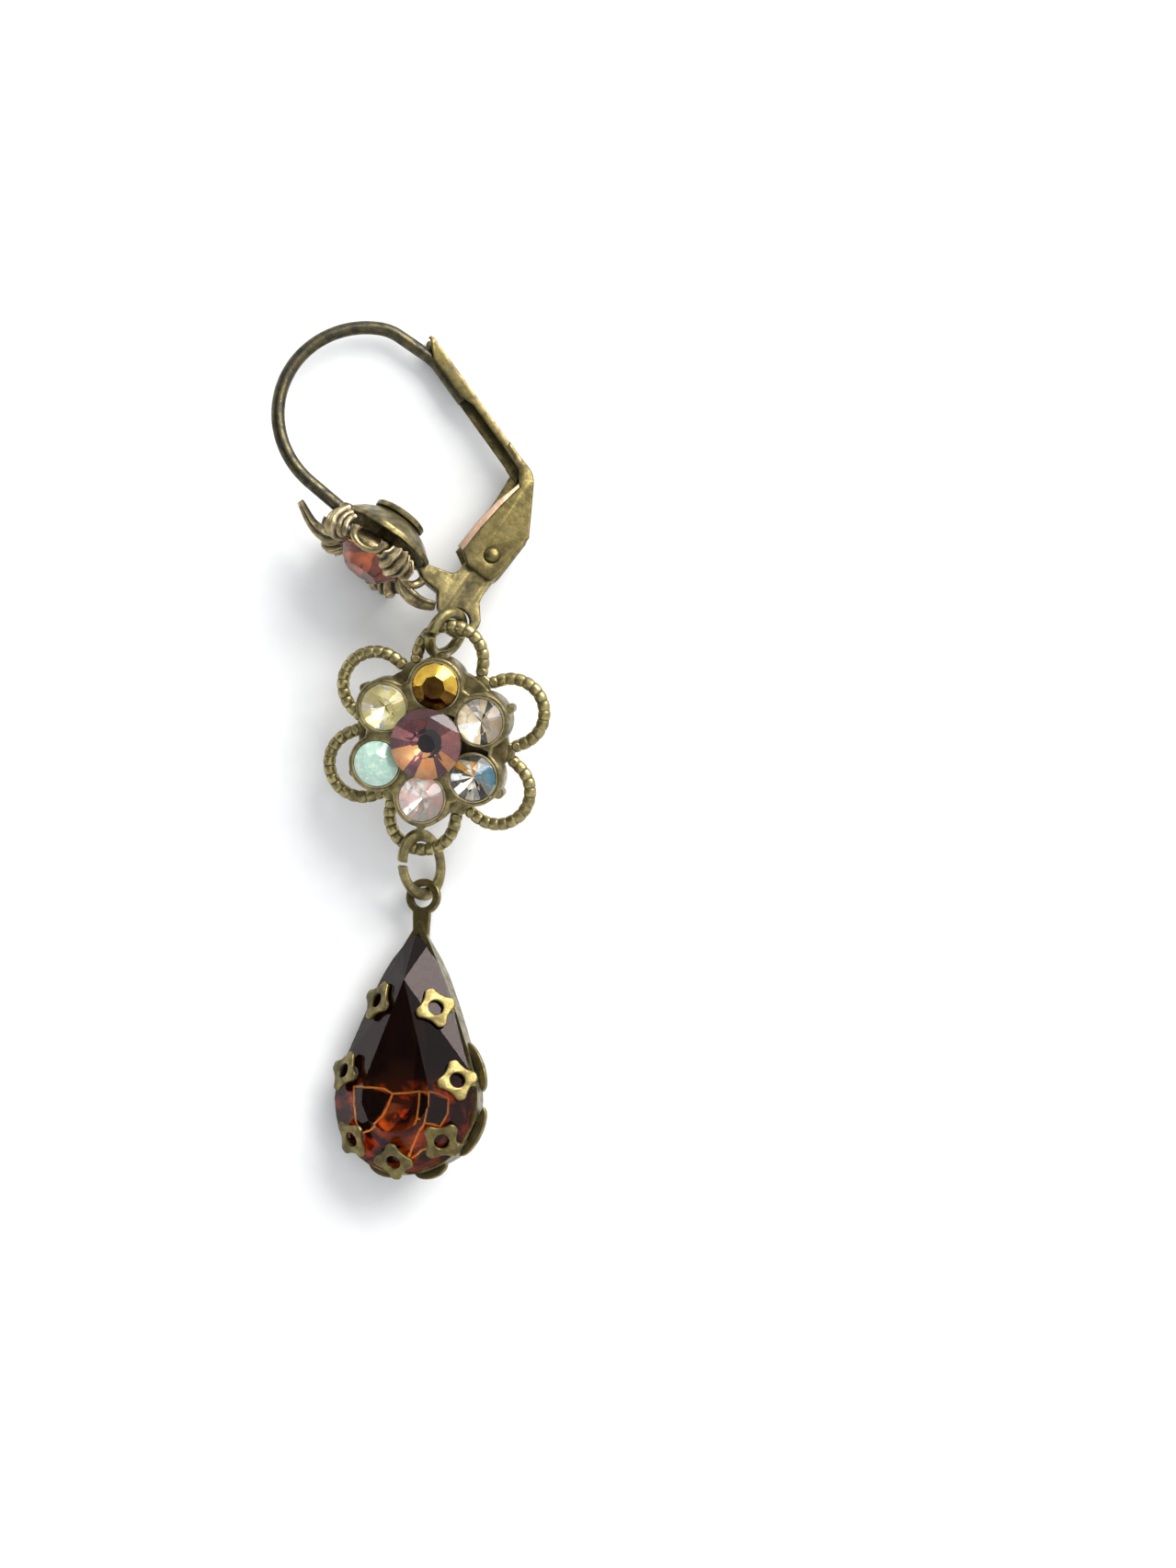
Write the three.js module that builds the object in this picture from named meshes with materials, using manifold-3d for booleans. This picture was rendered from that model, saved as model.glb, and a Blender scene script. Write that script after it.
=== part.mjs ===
// A drop earring of antiqued brass with glass stones, lying on its side on a flat surface.
// From the top down it is a leverback ear wire with a cast flower on its front, a pierced
// six-petal link that carries a cluster of round stones, and a pear-shaped stone in a claw
// setting, joined by two jump rings. Millimetres, +Z up, origin under the middle of its box.

import * as THREE from 'three';
import { ConvexGeometry } from 'three/addons/geometries/ConvexGeometry.js';
import { mergeVertices } from 'three/addons/utils/BufferGeometryUtils.js';
import Module from 'manifold-3d';

// ---------------------------------------------------------------- driving dimensions

const DEG = Math.PI / 180;

// Where each sub-assembly lies: its origin, the compass direction it rises towards, by how
// much it rises, and the direction that its own X axis points in.
const LEVERBACK = { x: 4.17, y: 10.04, z: 2.43, rises: 55.4, by: -12.5, turn: 55.4 };
const LINK = { x: 1.336, y: 0.486, z: 3.4, rises: 36, by: 11.6, turn: -10.9 };
const DROP = { x: -0.41, y: -18.6, z: 2.96, rises: -18.2, by: 21, turn: -3.2 };

// Ear hook: one round wire, soldered to a shallow cone cup and a flat bracket.
const WIRE_R = 0.36;
const ARCH_R = 4.84;
const ARCH_X = 2.66;
const ARCH_Y = 9.67;
const BACK_X = 7.22;
const ARM_SLOPE = 20.2;
const TAIL_IN = 0.62;
const TAIL_Y = 6.0;
const BRACKET_T = 0.9;
const CUP_Y = 5.18;
const CUP_RIM_X = -2.5;
const CUP_RIM_R = 2.72;
const EYE = { x: -3.88, y: -0.5, r: 0.64, t: 0.42, rim: 1.14, rimX: -3.62, rimY: -0.46 };

// Lever: a folded sheet, a channel over the bracket and a trough along the arm.
const CHANNEL_W = 1.74;
const CHANNEL_SLOT = 1.04;
const ARM_W = 1.22;
const ARM_SLOT = 0.84;
const ARM_DEPTH = 0.82;
const PIVOT_HOLE_R = 0.36;
const PIVOT_PIN_R = 0.3;

// Cast flower and its stone, on the cup's axis.
const FLOWER_X = -3.35;
const FLOWER_CUP_R = 2.0;
const FRONT_STONE = { r: 1.78, girdle: 0.55, table: 1.28, tableR: 0.9, culet: -0.45 };

// Pierced link.
const PETALS = 6;
const PETAL_AT = 4.275;
const PETAL_R = 1.775;
const ROPE_HALF_W = 0.31;
const ROPE_HALF_T = 0.29;
const RIB_STEP = 20;
const RIBS = 14;
const PLATE_R = 3.3;

// Stone cluster, on the link.
const CLUSTER_TURN = 2.9;
const STONE_AT = 3.0;
const SMALL = { r: 1.2, girdle: 2.3, table: 2.82, tableR: 0.62, culet: 1.5 };
const CENTRE = { r: 1.88, girdle: 2.98, table: 3.72, tableR: 0.85, culet: 1.75 };
const LOBE_R = 1.52;
const CUP_FOOT = 0.35;
const CUP_TOP = 2.3;

// Pear drop: a round end of radius PEAR_R with straight sides that meet at the point.
const PEAR_R = 3.9;
const PEAR_LENGTH = 13;
const PEAR_HALF_ANGLE = Math.asin(PEAR_R / (PEAR_LENGTH - PEAR_R));
const PEAR_FULLNESS = 0.2;
const SETTING_OUT = 4.08;
const SETTING_IN = 3.88;
const SETTING_FOOT = 3.86;
const STONE_R = 3.7;
const CROWN = { table: 1.25, tableR: 1.95 };
const SHEET_T = 0.35;
const SCALLOP = { out: 0.34, t: 0.3, z: -1.35 };
const CLAW = { reach: 1.1, hole: 0.4, t: 0.22, at: 3.42, z: 0.53 };

// ---------------------------------------------------------------- materials

const brass = (color, roughness) => new THREE.MeshStandardMaterial({ color, roughness, metalness: 1 });
const glass = (color) => new THREE.MeshStandardMaterial({ color, roughness: 0.05, metalness: 0 });

const OLD_BRASS = brass(0x8c7d4b, 0.42);
const WORN_BRASS = brass(0x9a8858, 0.38);
const PALE_BRASS = brass(0xa89a72, 0.4);

// ---------------------------------------------------------------- solids

const wasm = await Module();
wasm.setup();

// A closed three.js geometry as a solid that can be joined and cut.
function solid(geometry) {
  const bare = geometry.index ? geometry.toNonIndexed() : geometry.clone();
  bare.deleteAttribute('normal');
  bare.deleteAttribute('uv');
  const merged = mergeVertices(bare, 1e-4);
  return new wasm.Manifold(new wasm.Mesh({
    numProp: 3,
    vertProperties: new Float32Array(merged.attributes.position.array),
    triVerts: new Uint32Array(merged.index.array),
  }));
}

function joined(...geometries) {
  return geometries.map(solid).reduce((all, one) => all.add(one));
}

// A solid back as a geometry, ready for a mesh.
function shape(manifold) {
  const { vertProperties, triVerts } = manifold.getMesh();
  const geometry = new THREE.BufferGeometry();
  geometry.setAttribute('position', new THREE.BufferAttribute(new Float32Array(vertProperties), 3));
  geometry.setIndex(new THREE.BufferAttribute(new Uint32Array(triVerts), 1));
  geometry.computeVertexNormals();
  return geometry;
}

function piece(name, geometry, material) {
  const mesh = new THREE.Mesh(geometry, material);
  mesh.name = name;
  return mesh;
}

// A flat outline with a thickness, centred on z = 0.
function plate(outline, thickness, curveSegments = 6) {
  const flat = new THREE.ExtrudeGeometry(outline, { depth: thickness, bevelEnabled: false, curveSegments });
  return flat.translate(0, 0, -thickness / 2);
}

function polygon(points) {
  return new THREE.Shape(points.map(([x, y]) => new THREE.Vector2(x, y)));
}

function disc(x, y, z, radius, height, sides = 16) {
  return new THREE.CylinderGeometry(radius, radius, height, sides).rotateX(Math.PI / 2).translate(x, y, z);
}

// A flat path as a curve in space, at even steps along its length.
class FlatCurve extends THREE.Curve {
  constructor(path) {
    super();
    this.path = path;
  }

  getPoint(t, target = new THREE.Vector3()) {
    const p = this.path.getPointAt(t);
    return target.set(p.x, p.y, 0);
  }
}

function wire(path, halfWidth, halfThickness, sides, steps) {
  const section = new THREE.Shape();
  for (let i = 0; i < sides; i += 1) {
    const a = (2 * Math.PI * (i + 0.5)) / sides;
    const x = halfWidth * Math.cos(a);
    const y = halfThickness * Math.sin(a);
    if (i === 0) section.moveTo(x, y);
    else section.lineTo(x, y);
  }
  return new THREE.ExtrudeGeometry(section, { steps, extrudePath: new FlatCurve(path), curveSegments: 1 });
}

// Rings of points, one after the other, skinned and closed at both ends.
function loft(rings) {
  const sides = rings[0].length;
  const points = rings.flat();
  const faces = [];
  for (let i = 0; i < rings.length - 1; i += 1) {
    const a = i * sides;
    const b = a + sides;
    for (let j = 0; j < sides; j += 1) {
      const k = (j + 1) % sides;
      faces.push(a + j, a + k, b + k, a + j, b + k, b + j);
    }
  }
  const last = (rings.length - 1) * sides;
  for (let j = 1; j < sides - 1; j += 1) {
    faces.push(0, j + 1, j, last, last + j, last + j + 1);
  }
  const geometry = new THREE.BufferGeometry().setFromPoints(points);
  geometry.setIndex(faces);
  return geometry;
}

// A round brilliant-cut stone: girdle, a ring of crown corners, flat table and culet.
function chaton({ r, girdle, table, tableR, culet }, sides = 12) {
  const points = [new THREE.Vector3(0, 0, culet)];
  const ring = (radius, z, shift) => {
    for (let i = 0; i < sides; i += 1) {
      const a = (2 * Math.PI * (i + shift)) / sides;
      points.push(new THREE.Vector3(radius * Math.cos(a), radius * Math.sin(a), z));
    }
  };
  ring(r, girdle - 0.06, 0);
  ring(r, girdle + 0.06, 0);
  ring(tableR, table, 0.5);
  return new ConvexGeometry(points);
}

// Lays a sub-assembly down: it rises towards one direction and is turned about its own axis.
function lay(group, { x, y, z, rises, by, turn }) {
  const up = new THREE.Vector3(0, 0, 1);
  const across = new THREE.Vector3(0, 1, 0);
  group.position.set(x, y, z);
  group.quaternion.setFromAxisAngle(up, rises * DEG)
    .multiply(new THREE.Quaternion().setFromAxisAngle(across, -by * DEG))
    .multiply(new THREE.Quaternion().setFromAxisAngle(up, (turn - rises) * DEG));
  return group;
}

// ---------------------------------------------------------------- leverback
// Its frame: origin on the pivot, X away from the flower, Y up the hook, Z along the pivot.

const ARM_N = new THREE.Vector2(Math.cos(ARM_SLOPE * DEG), -Math.sin(ARM_SLOPE * DEG));
const ARM_BACK = 4.457;

// The X of a line along the arm, a given distance inside its back edge, at height y.
function armX(inside, y) {
  return (ARM_BACK - inside - ARM_N.y * y) / ARM_N.x;
}

function hookWire() {
  const path = new THREE.Path();
  const splay = 174 * DEG;
  path.moveTo(ARCH_X - ARCH_R - 0.24, CUP_Y + CUP_RIM_R - 0.3);
  path.lineTo(ARCH_X + ARCH_R * Math.cos(splay), ARCH_Y + ARCH_R * Math.sin(splay));
  path.absarc(ARCH_X, ARCH_Y, ARCH_R, splay, 28 * DEG, true);
  // The arch tightens at the back, runs down into the trough and bends along it.
  const c = Math.cos(28 * DEG);
  const r = (BACK_X - ARCH_X - ARCH_R * c) / (1 - c);
  path.absarc(BACK_X - r, ARCH_Y + (ARCH_R - r) * Math.sin(28 * DEG), r, 28 * DEG, 0, true);
  const bend = 2.5;
  const x = BACK_X - bend + bend * Math.cos(ARM_SLOPE * DEG);
  const y = (x * ARM_N.x - ARM_BACK + TAIL_IN) / -ARM_N.y;
  path.absarc(BACK_X - bend, y + bend * Math.sin(ARM_SLOPE * DEG), bend, 0, -ARM_SLOPE * DEG, true);
  path.lineTo(armX(TAIL_IN, TAIL_Y), TAIL_Y);
  return wire(path, WIRE_R, WIRE_R, 8, 38);
}

// The shallow cone, open to the front, with a hole in its back for the rivet.
function coneCup() {
  const profile = [
    [0.6, 1.3], [1.32, 1.3], [2.05, 0.86], [2.6, 0.36], [CUP_RIM_R, 0.26], [CUP_RIM_R, 0],
    [CUP_RIM_R - 0.26, 0], [1.9, 0.52], [1.2, 0.95], [0.6, 0.95], [0.6, 1.3],
  ];
  const cone = new THREE.LatheGeometry(profile.map(([r, h]) => new THREE.Vector2(r, h)).reverse(), 24);
  return cone.rotateZ(-Math.PI / 2).translate(CUP_RIM_X, CUP_Y, 0);
}

// The cast bracket: a tongue round the pivot, an arm up to the cup, and the eye below.
function bracketOutline() {
  const outline = new THREE.Shape();
  outline.moveTo(-2.72, 2.85);
  outline.lineTo(-3.12, 2.3);
  outline.lineTo(-3.2, 1.3);
  outline.lineTo(-3.95, 0.8);
  outline.absarc(EYE.rimX, EYE.rimY, EYE.rim, 112 * DEG, 292 * DEG, false);
  outline.lineTo(-2.4, -0.9);
  outline.lineTo(-1.95, -0.82);
  outline.absarc(0, 0, 0.9, -105 * DEG, 95 * DEG, false);
  outline.lineTo(-1.35, 0.98);
  outline.quadraticCurveTo(-1.9, 0.95, -2.0, 1.45);
  outline.lineTo(-2.3, 2.6);
  return outline;
}

function earHook() {
  const bracket = solid(plate(bracketOutline(), BRACKET_T, 9));
  const body = solid(hookWire()).add(solid(coneCup())).add(bracket);
  // The eye is thinner than the tongue, with its front flush.
  const thin = solid(disc(EYE.x, EYE.y, -1 + BRACKET_T / 2 - EYE.t, 1.5, 2));
  const eye = solid(disc(EYE.x, EYE.y, 0, EYE.r, 2));
  const pin = solid(disc(0, 0, 0, PIVOT_HOLE_R, 2));
  return shape(body.subtract(thin).subtract(eye).subtract(pin));
}

function leverOutline() {
  const outline = new THREE.Shape();
  outline.moveTo(-0.6, 1.75);
  outline.lineTo(-1.2, 0.8);
  outline.lineTo(-1.25, -0.35);
  outline.quadraticCurveTo(-1.2, -0.88, -0.5, -0.98);
  outline.lineTo(1.95, -1.1);
  outline.lineTo(4.5, 0.32);
  outline.quadraticCurveTo(4.98, 0.6, armX(0, 1.1), 1.1);
  outline.lineTo(armX(0, 9.0), 9.0);
  outline.quadraticCurveTo(armX(0, 9.5), 9.5, armX(0.3, 9.45), 9.45);
  outline.quadraticCurveTo(armX(ARM_DEPTH, 9.3), 9.2, armX(ARM_DEPTH, 8.4), 8.4);
  outline.lineTo(armX(ARM_DEPTH, 1.7), 1.7);
  outline.quadraticCurveTo(2.2, 1.45, -0.6, 1.75);
  return outline;
}

function lever() {
  const sheet = CHANNEL_W / 2 - CHANNEL_SLOT / 2;
  const web = ARM_W / 2 - ARM_SLOT / 2;
  const below = polygon([[-3, 3], [-3, -3], [7, -3], [7, 1.9], [3.6, 1.9], [1, 3]]);
  const channel = solid(plate(leverOutline(), CHANNEL_W)).intersect(solid(plate(below, 4)));
  const above = polygon([[3, 1.5], [9, 1.5], [12, 11], [3, 11]]);
  const arm = solid(plate(leverOutline(), ARM_W)).intersect(solid(plate(above, 4)));
  const channelSlot = polygon([
    [-3, 3], [-3, -3], [1.82, -3], [1.82, -1.1 + sheet], [4.3, 0.32 + sheet * 0.97],
    [armX(web + 0.1, 1.3), 1.3], [armX(web + 0.1, 1.9), 1.9], [3.4, 1.9], [2, 3],
  ]);
  const trough = polygon([[armX(web, 1.2), 1.2], [armX(web, 11), 11], [armX(2.5, 11), 11], [armX(2.5, 1.2), 1.2]]);
  // The front plate and the front wall are trimmed back, most along the lower half of the arm.
  const trim = polygon([
    [-3, 1.6], [-0.68, 1.44], [0.98, 1.34], [2.62, 1.14], [3.95, 0.9], [armX(0.42, 1.5), 1.5],
    [armX(0.42, 5.4), 5.4], [armX(0.68, 6.2), 6.2], [armX(0.72, 8.6), 8.6], [armX(0.25, 9.35), 9.35],
    [armX(2, 10), 10], [armX(2, 2.6), 2.6], [-3, 4],
  ]);
  return shape(channel.add(arm)
    .subtract(solid(plate(channelSlot, CHANNEL_SLOT)))
    .subtract(solid(plate(trough, ARM_SLOT)))
    .subtract(solid(plate(trim, 1).translate(0, 0, ARM_SLOT / 2 + 0.4)))
    .subtract(solid(disc(0, 0, 0, PIVOT_HOLE_R, 3))));
}

// A headed pin through the channel and the tongue.
function pivotRivet() {
  const face = CHANNEL_W / 2 + 0.04;
  const profile = [
    [0, -face - 0.2], [0.26, -face - 0.16], [0.42, -face], [PIVOT_PIN_R, -face], [PIVOT_PIN_R, face],
    [0.42, face], [0.26, face + 0.16], [0, face + 0.2],
  ];
  return new THREE.LatheGeometry(profile.map(([r, h]) => new THREE.Vector2(r, h)), 14).rotateX(Math.PI / 2);
}

// The rivet behind the cup, whose shank carries the flower.
function cupRivet() {
  const back = CUP_RIM_X + 1.36;
  const profile = [
    [0, FLOWER_X + 0.78], [0.5, FLOWER_X + 0.78], [0.5, back], [1.36, back], [1.46, back + 0.08],
    [1.46, back + 0.25], [1.3, back + 0.35], [0, back + 0.35],
  ];
  const turned = new THREE.LatheGeometry(profile.map(([r, h]) => new THREE.Vector2(r, h)), 20);
  return turned.rotateZ(-Math.PI / 2).translate(0, CUP_Y, 0);
}

// ---------------------------------------------------------------- cast flower
// Its frame: Z out of the front, Y up, origin on the cup's axis.

// Each kind of petal: its spine as radius and height, its half width along it, and its ribs.
const LEAF = {
  spine: [[1.3, 0.2], [2.3, 1.25], [3.6, 0.75], [4.85, -0.05]],
  halfWidths: [0.8, 1.15, 0.95, 0.2],
  ribs: 3,
};
const CURLED = {
  spine: [[1.3, 0.2], [2.5, 1.25], [3.6, 0.5], [3.1, -0.6]],
  halfWidths: [0.8, 1.15, 1.22, 0.9],
  ribs: 4,
};
const PETAL_KINDS = [LEAF, CURLED, CURLED, LEAF, CURLED, CURLED];

function petal({ spine, halfWidths, ribs }, angle) {
  const curve = new THREE.CubicBezierCurve(...spine.map(([r, z]) => new THREE.Vector2(r, z)));
  const widths = new THREE.SplineCurve(halfWidths.map((w, i) => new THREE.Vector2(i, w)));
  const steps = 4;
  const across = 6;
  const rings = [];
  for (let i = 0; i <= steps; i += 1) {
    const t = i / steps;
    const at = curve.getPoint(t);
    const along = curve.getTangent(t);
    const half = widths.getPoint(t).y;
    const thick = 0.42 - 0.12 * t;
    const ring = [];
    for (const side of [1, -1]) {
      for (let j = 0; j <= across; j += 1) {
        const v = side * (2 * (j / across) - 1);
        const pleat = 0.09 * Math.cos(ribs * Math.PI * v) * Math.min(1, 2 * t);
        const cup = -0.25 * v * v * half;
        const edge = 1 - 0.5 * v ** 4;
        const off = (side * thick * edge) / 2 + pleat + cup;
        const radius = at.x - along.y * off;
        const height = at.y + along.x * off;
        const point = new THREE.Vector3(half * v, radius, height);
        ring.push(point.applyAxisAngle(new THREE.Vector3(0, 0, 1), angle));
      }
    }
    rings.push(ring);
  }
  return loft(rings);
}

// Petals, a round cup for the stone, and a notch where the bottom leaf straddles the bracket.
function flower() {
  const cupProfile = [
    [0, -0.72], [1.1, -0.72], [1.75, -0.4], [FLOWER_CUP_R, 0.1], [FLOWER_CUP_R, 0.5],
    [1.86, 0.5], [1.86, 0.0], [0.9, -0.5], [0, -0.5],
  ];
  const cup = new THREE.LatheGeometry(cupProfile.map(([r, h]) => new THREE.Vector2(r, h)), 20);
  let body = solid(cup.rotateX(Math.PI / 2));
  PETAL_KINDS.forEach((kind, i) => {
    body = body.add(solid(petal(kind, (-i * 2 * Math.PI) / PETALS)));
  });
  const seat = [[0, -0.5], [0.9, -0.5], [1.86, 0], [1.86, 2], [0, 2]];
  const hollow = new THREE.LatheGeometry(seat.map(([r, h]) => new THREE.Vector2(r, h)), 20).rotateX(Math.PI / 2);
  const notch = new THREE.BoxGeometry(BRACKET_T + 0.3, 2, 4).translate(0, -4.9, 0);
  return shape(body.subtract(solid(hollow)).subtract(solid(notch)));
}

// ---------------------------------------------------------------- jump rings

function openRing(halfLength, halfWidth, half, thick, gapAt, gap, steps) {
  const path = new THREE.Path();
  const from = (gapAt + gap / 2) * DEG;
  path.absellipse(0, 0, halfWidth, halfLength, from, from + (360 - gap) * DEG, false, 0);
  return wire(path, half, thick, 8, steps);
}

// ---------------------------------------------------------------- pierced link
// Its frame: Y towards the petal that hangs from the ear hook, Z out of the front.

// A loop of rope with both ends in the plate: ribs with a narrow groove between each two.
function ropePetal(angle) {
  const rings = [];
  const sides = 5;
  for (let i = -RIBS / 2; i < RIBS / 2; i += 1) {
    for (const [shift, size] of [[0.25, 1], [0.85, 0.84]]) {
      const a = angle + RIB_STEP * DEG * (i + shift - 0.05);
      const ring = [];
      for (let j = 0; j < sides; j += 1) {
        const b = (2 * Math.PI * j) / sides;
        const r = PETAL_R + ROPE_HALF_W * size * Math.cos(b);
        ring.push(new THREE.Vector3(r * Math.cos(a), r * Math.sin(a), ROPE_HALF_T * size * Math.sin(b)));
      }
      rings.push(ring.reverse());
    }
  }
  return loft(rings).translate(PETAL_AT * Math.cos(angle), PETAL_AT * Math.sin(angle), 0);
}

function link() {
  let body = solid(disc(0, 0, 0, PLATE_R, 0.5, 24));
  for (let i = 0; i < PETALS; i += 1) {
    const angle = Math.PI / 2 + (2 * Math.PI * i) / PETALS;
    body = body.add(solid(ropePetal(angle)));
    // Three balls where two petals meet.
    const between = angle + Math.PI / PETALS;
    for (const [r, side, size] of [[4.32, 0.43, 0.34], [4.32, -0.43, 0.34], [3.62, 0, 0.3]]) {
      const ball = new THREE.SphereGeometry(size, 6, 3);
      const x = r * Math.cos(between) - side * Math.sin(between);
      const y = r * Math.sin(between) + side * Math.cos(between);
      body = body.add(solid(ball.translate(x, y, -0.02)));
    }
  }
  return shape(body);
}

// ---------------------------------------------------------------- stone cluster

function clusterSpots() {
  const spots = [];
  for (let i = 0; i < PETALS; i += 1) {
    const a = (90 + CLUSTER_TURN + 60 * i) * DEG;
    spots.push([STONE_AT * Math.cos(a), STONE_AT * Math.sin(a), a]);
  }
  return spots;
}

// The cast cup: six lobes round a raised middle, each with a seat for its stone.
function clusterCup() {
  const tall = CUP_TOP - CUP_FOOT;
  let body = solid(disc(0, 0, CUP_FOOT + tall / 2, 2.6, tall));
  for (const [x, y, a] of clusterSpots()) {
    body = body.add(solid(disc(x, y, CUP_FOOT + tall / 2, LOBE_R, tall)));
    const r = STONE_AT + LOBE_R;
    body = body.add(solid(disc(r * Math.cos(a), r * Math.sin(a), CUP_FOOT + 0.65, 0.28, 1.3, 8)));
  }
  body = body.add(solid(disc(0, 0, 2.3, 1.75, 0.8)));
  for (const [x, y] of clusterSpots()) {
    body = body.subtract(solid(disc(x, y, CUP_TOP + 0.34, SMALL.r + 0.06, 1)));
    body = body.subtract(solid(disc(x, y, CUP_TOP, 1.1, 1.9, 12)));
  }
  body = body.subtract(solid(disc(0, 0, 2.6, 1.58, 2, 16)));
  return shape(body);
}

// ---------------------------------------------------------------- pear drop
// Its frame: Y towards the point, Z out of the crown, origin in the middle of the round end.

// The outline of a pear of a given end radius, from its point round to its point again.
function pearRing(radius, z, arcSteps, sideSteps) {
  const tip = radius / Math.sin(PEAR_HALF_ANGLE);
  const points = [new THREE.Vector3(0, tip, z)];
  const tangent = new THREE.Vector2(radius * Math.cos(PEAR_HALF_ANGLE), radius * Math.sin(PEAR_HALF_ANGLE));
  const right = [];
  for (let i = 1; i < sideSteps; i += 1) {
    const t = i / sideSteps;
    const full = 4 * PEAR_FULLNESS * t * (1 - t);
    const x = tangent.x * t + full * Math.cos(PEAR_HALF_ANGLE);
    right.push(new THREE.Vector3(x, tip + (tangent.y - tip) * t + full * Math.sin(PEAR_HALF_ANGLE), z));
  }
  points.push(...right);
  const sweep = Math.PI + 2 * PEAR_HALF_ANGLE;
  for (let i = 0; i <= arcSteps; i += 1) {
    const a = PEAR_HALF_ANGLE - (sweep * i) / arcSteps;
    points.push(new THREE.Vector3(radius * Math.cos(a), radius * Math.sin(a), z));
  }
  points.push(...right.map((p) => new THREE.Vector3(-p.x, p.y, z)).reverse());
  return points;
}

// How deep the keeled back lies under a point: two long faces, a bow and a stern.
function keelDepth(x, y) {
  const toward = (DROP.rises - DROP.turn) * DEG;
  const lean = DROP.by * DEG;
  const fall = Math.sin(lean) * (Math.cos(toward) * Math.abs(x) - Math.sin(toward) * y);
  const face = (DROP.z - fall) / Math.cos(lean);
  const bow = 1.15 + 0.42 * (9.3 - y);
  const stern = 1.6 + 0.75 * (y + 3.9);
  return Math.min(face, bow, stern);
}

function keeled(outer, foot, top, lift) {
  const points = pearRing(outer, top, 12, 2);
  for (const p of pearRing(foot, 0, 12, 2)) {
    points.push(new THREE.Vector3(p.x, p.y, lift - keelDepth(p.x, p.y)));
  }
  for (let y = -2.4; y <= 7.4; y += 0.7) {
    points.push(new THREE.Vector3(0, y, lift - keelDepth(0, y)));
  }
  return new ConvexGeometry(points);
}

// The outline's place and outward direction, a distance along from the middle of the round end.
function onPear(radius, along) {
  const side = Math.sign(along) || 1;
  const round = radius * (Math.PI / 2 + PEAR_HALF_ANGLE);
  const run = Math.abs(along);
  const a = run < round ? -Math.PI / 2 + run / radius : PEAR_HALF_ANGLE;
  const past = Math.max(0, run - round);
  const u = (past * Math.tan(PEAR_HALF_ANGLE)) / radius;
  const r = radius + 4 * PEAR_FULLNESS * u * (1 - u);
  const x = r * Math.cos(a) - past * Math.sin(PEAR_HALF_ANGLE);
  const y = r * Math.sin(a) + past * Math.cos(PEAR_HALF_ANGLE);
  return { x: side * x, y, out: side > 0 ? a : Math.PI - a };
}

// Seven claws: one at the bottom and three up each side.
const CLAWS_ALONG = [0, 3.0, 6.45, 10.5, -2.75, -6.6, -10.75];

function clawPlate() {
  const { reach, hole, t } = CLAW;
  const tip = 0.2;
  const pinch = 0.34;
  const star = new THREE.Shape();
  star.moveTo(reach, -tip);
  for (let i = 0; i < 4; i += 1) {
    const turn = (i * Math.PI) / 2;
    const at = (x, y) => [x * Math.cos(turn) - y * Math.sin(turn), x * Math.sin(turn) + y * Math.cos(turn)];
    star.lineTo(...at(reach, tip));
    star.quadraticCurveTo(...at(pinch, pinch), ...at(tip, reach));
  }
  const round = new THREE.Path();
  round.absarc(0, 0, hole, 0, 2 * Math.PI, true);
  star.holes.push(round);
  return plate(star, t, 4);
}

// A claw rises up the wall and folds inwards, its pierced plate flat on the crown.
function claw(along) {
  const { x, y, out } = onPear(CLAW.at, along);
  const slope = Math.atan2(CROWN.table, STONE_R - CROWN.tableR);
  const flat = clawPlate().rotateY(slope).translate(0, 0, CLAW.z + 0.21);
  const neckAt = SETTING_OUT - 0.16 - CLAW.at;
  const neck = new THREE.BoxGeometry(0.24, 0.9, 1.1).translate(neckAt, 0, -0.3);
  const both = joined(flat, neck);
  return shape(both).rotateZ(out).translate(x, y, 0);
}

function pearSetting() {
  const inside = solid(keeled(SETTING_IN, SETTING_FOOT - 0.2, 0.5, SHEET_T));
  let body = solid(keeled(SETTING_OUT, SETTING_FOOT, -0.12, 0)).subtract(inside);
  CLAWS_ALONG.forEach((along) => {
    body = body.add(solid(claw(along)));
  });
  // Between each two claws the foot of the gallery bows out in a scallop, with a window above it
  // and a dip in the top edge.
  for (const along of [1.5, 4.75, 8.5, -1.4, -4.7, -8.7]) {
    const { x, y, out } = onPear(SETTING_OUT, along);
    const length = Math.abs(along) > 4 ? 1.45 : 0.95;
    const bow = new THREE.CylinderGeometry(1, 1, SCALLOP.t, 16).rotateX(Math.PI / 2).scale(0.2 + SCALLOP.out, length, 1);
    bow.translate(-0.2, 0, SCALLOP.z).rotateZ(out).translate(x, y, 0);
    body = body.add(solid(bow).subtract(inside));
    const window = new THREE.CylinderGeometry(0.42, 0.42, 1.6, 10).rotateZ(Math.PI / 2);
    window.scale(1, 1.6, 1).rotateZ(out).translate(x, y, -0.85);
    body = body.subtract(solid(window));
    const dip = new THREE.CylinderGeometry(0.3, 0.3, 1.2, 8).rotateZ(Math.PI / 2);
    dip.scale(1, 2.2, 1).rotateZ(out).translate(x, y, -0.08);
    body = body.subtract(solid(dip));
  }
  const eye = new THREE.Shape();
  eye.moveTo(-0.4, 8.3);
  eye.lineTo(0.45, 8.3);
  eye.lineTo(0.45, 10.0);
  eye.absarc(-0.02, 10.78, 0.97, -58 * DEG, 238 * DEG, false);
  const hole = new THREE.Path();
  hole.absarc(-0.02, 10.78, 0.57, 0, 2 * Math.PI, true);
  eye.holes.push(hole);
  const loop = plate(eye, 0.35, 8).translate(0, 0, -0.7);
  return shape(body.add(solid(loop).subtract(inside)));
}

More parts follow.
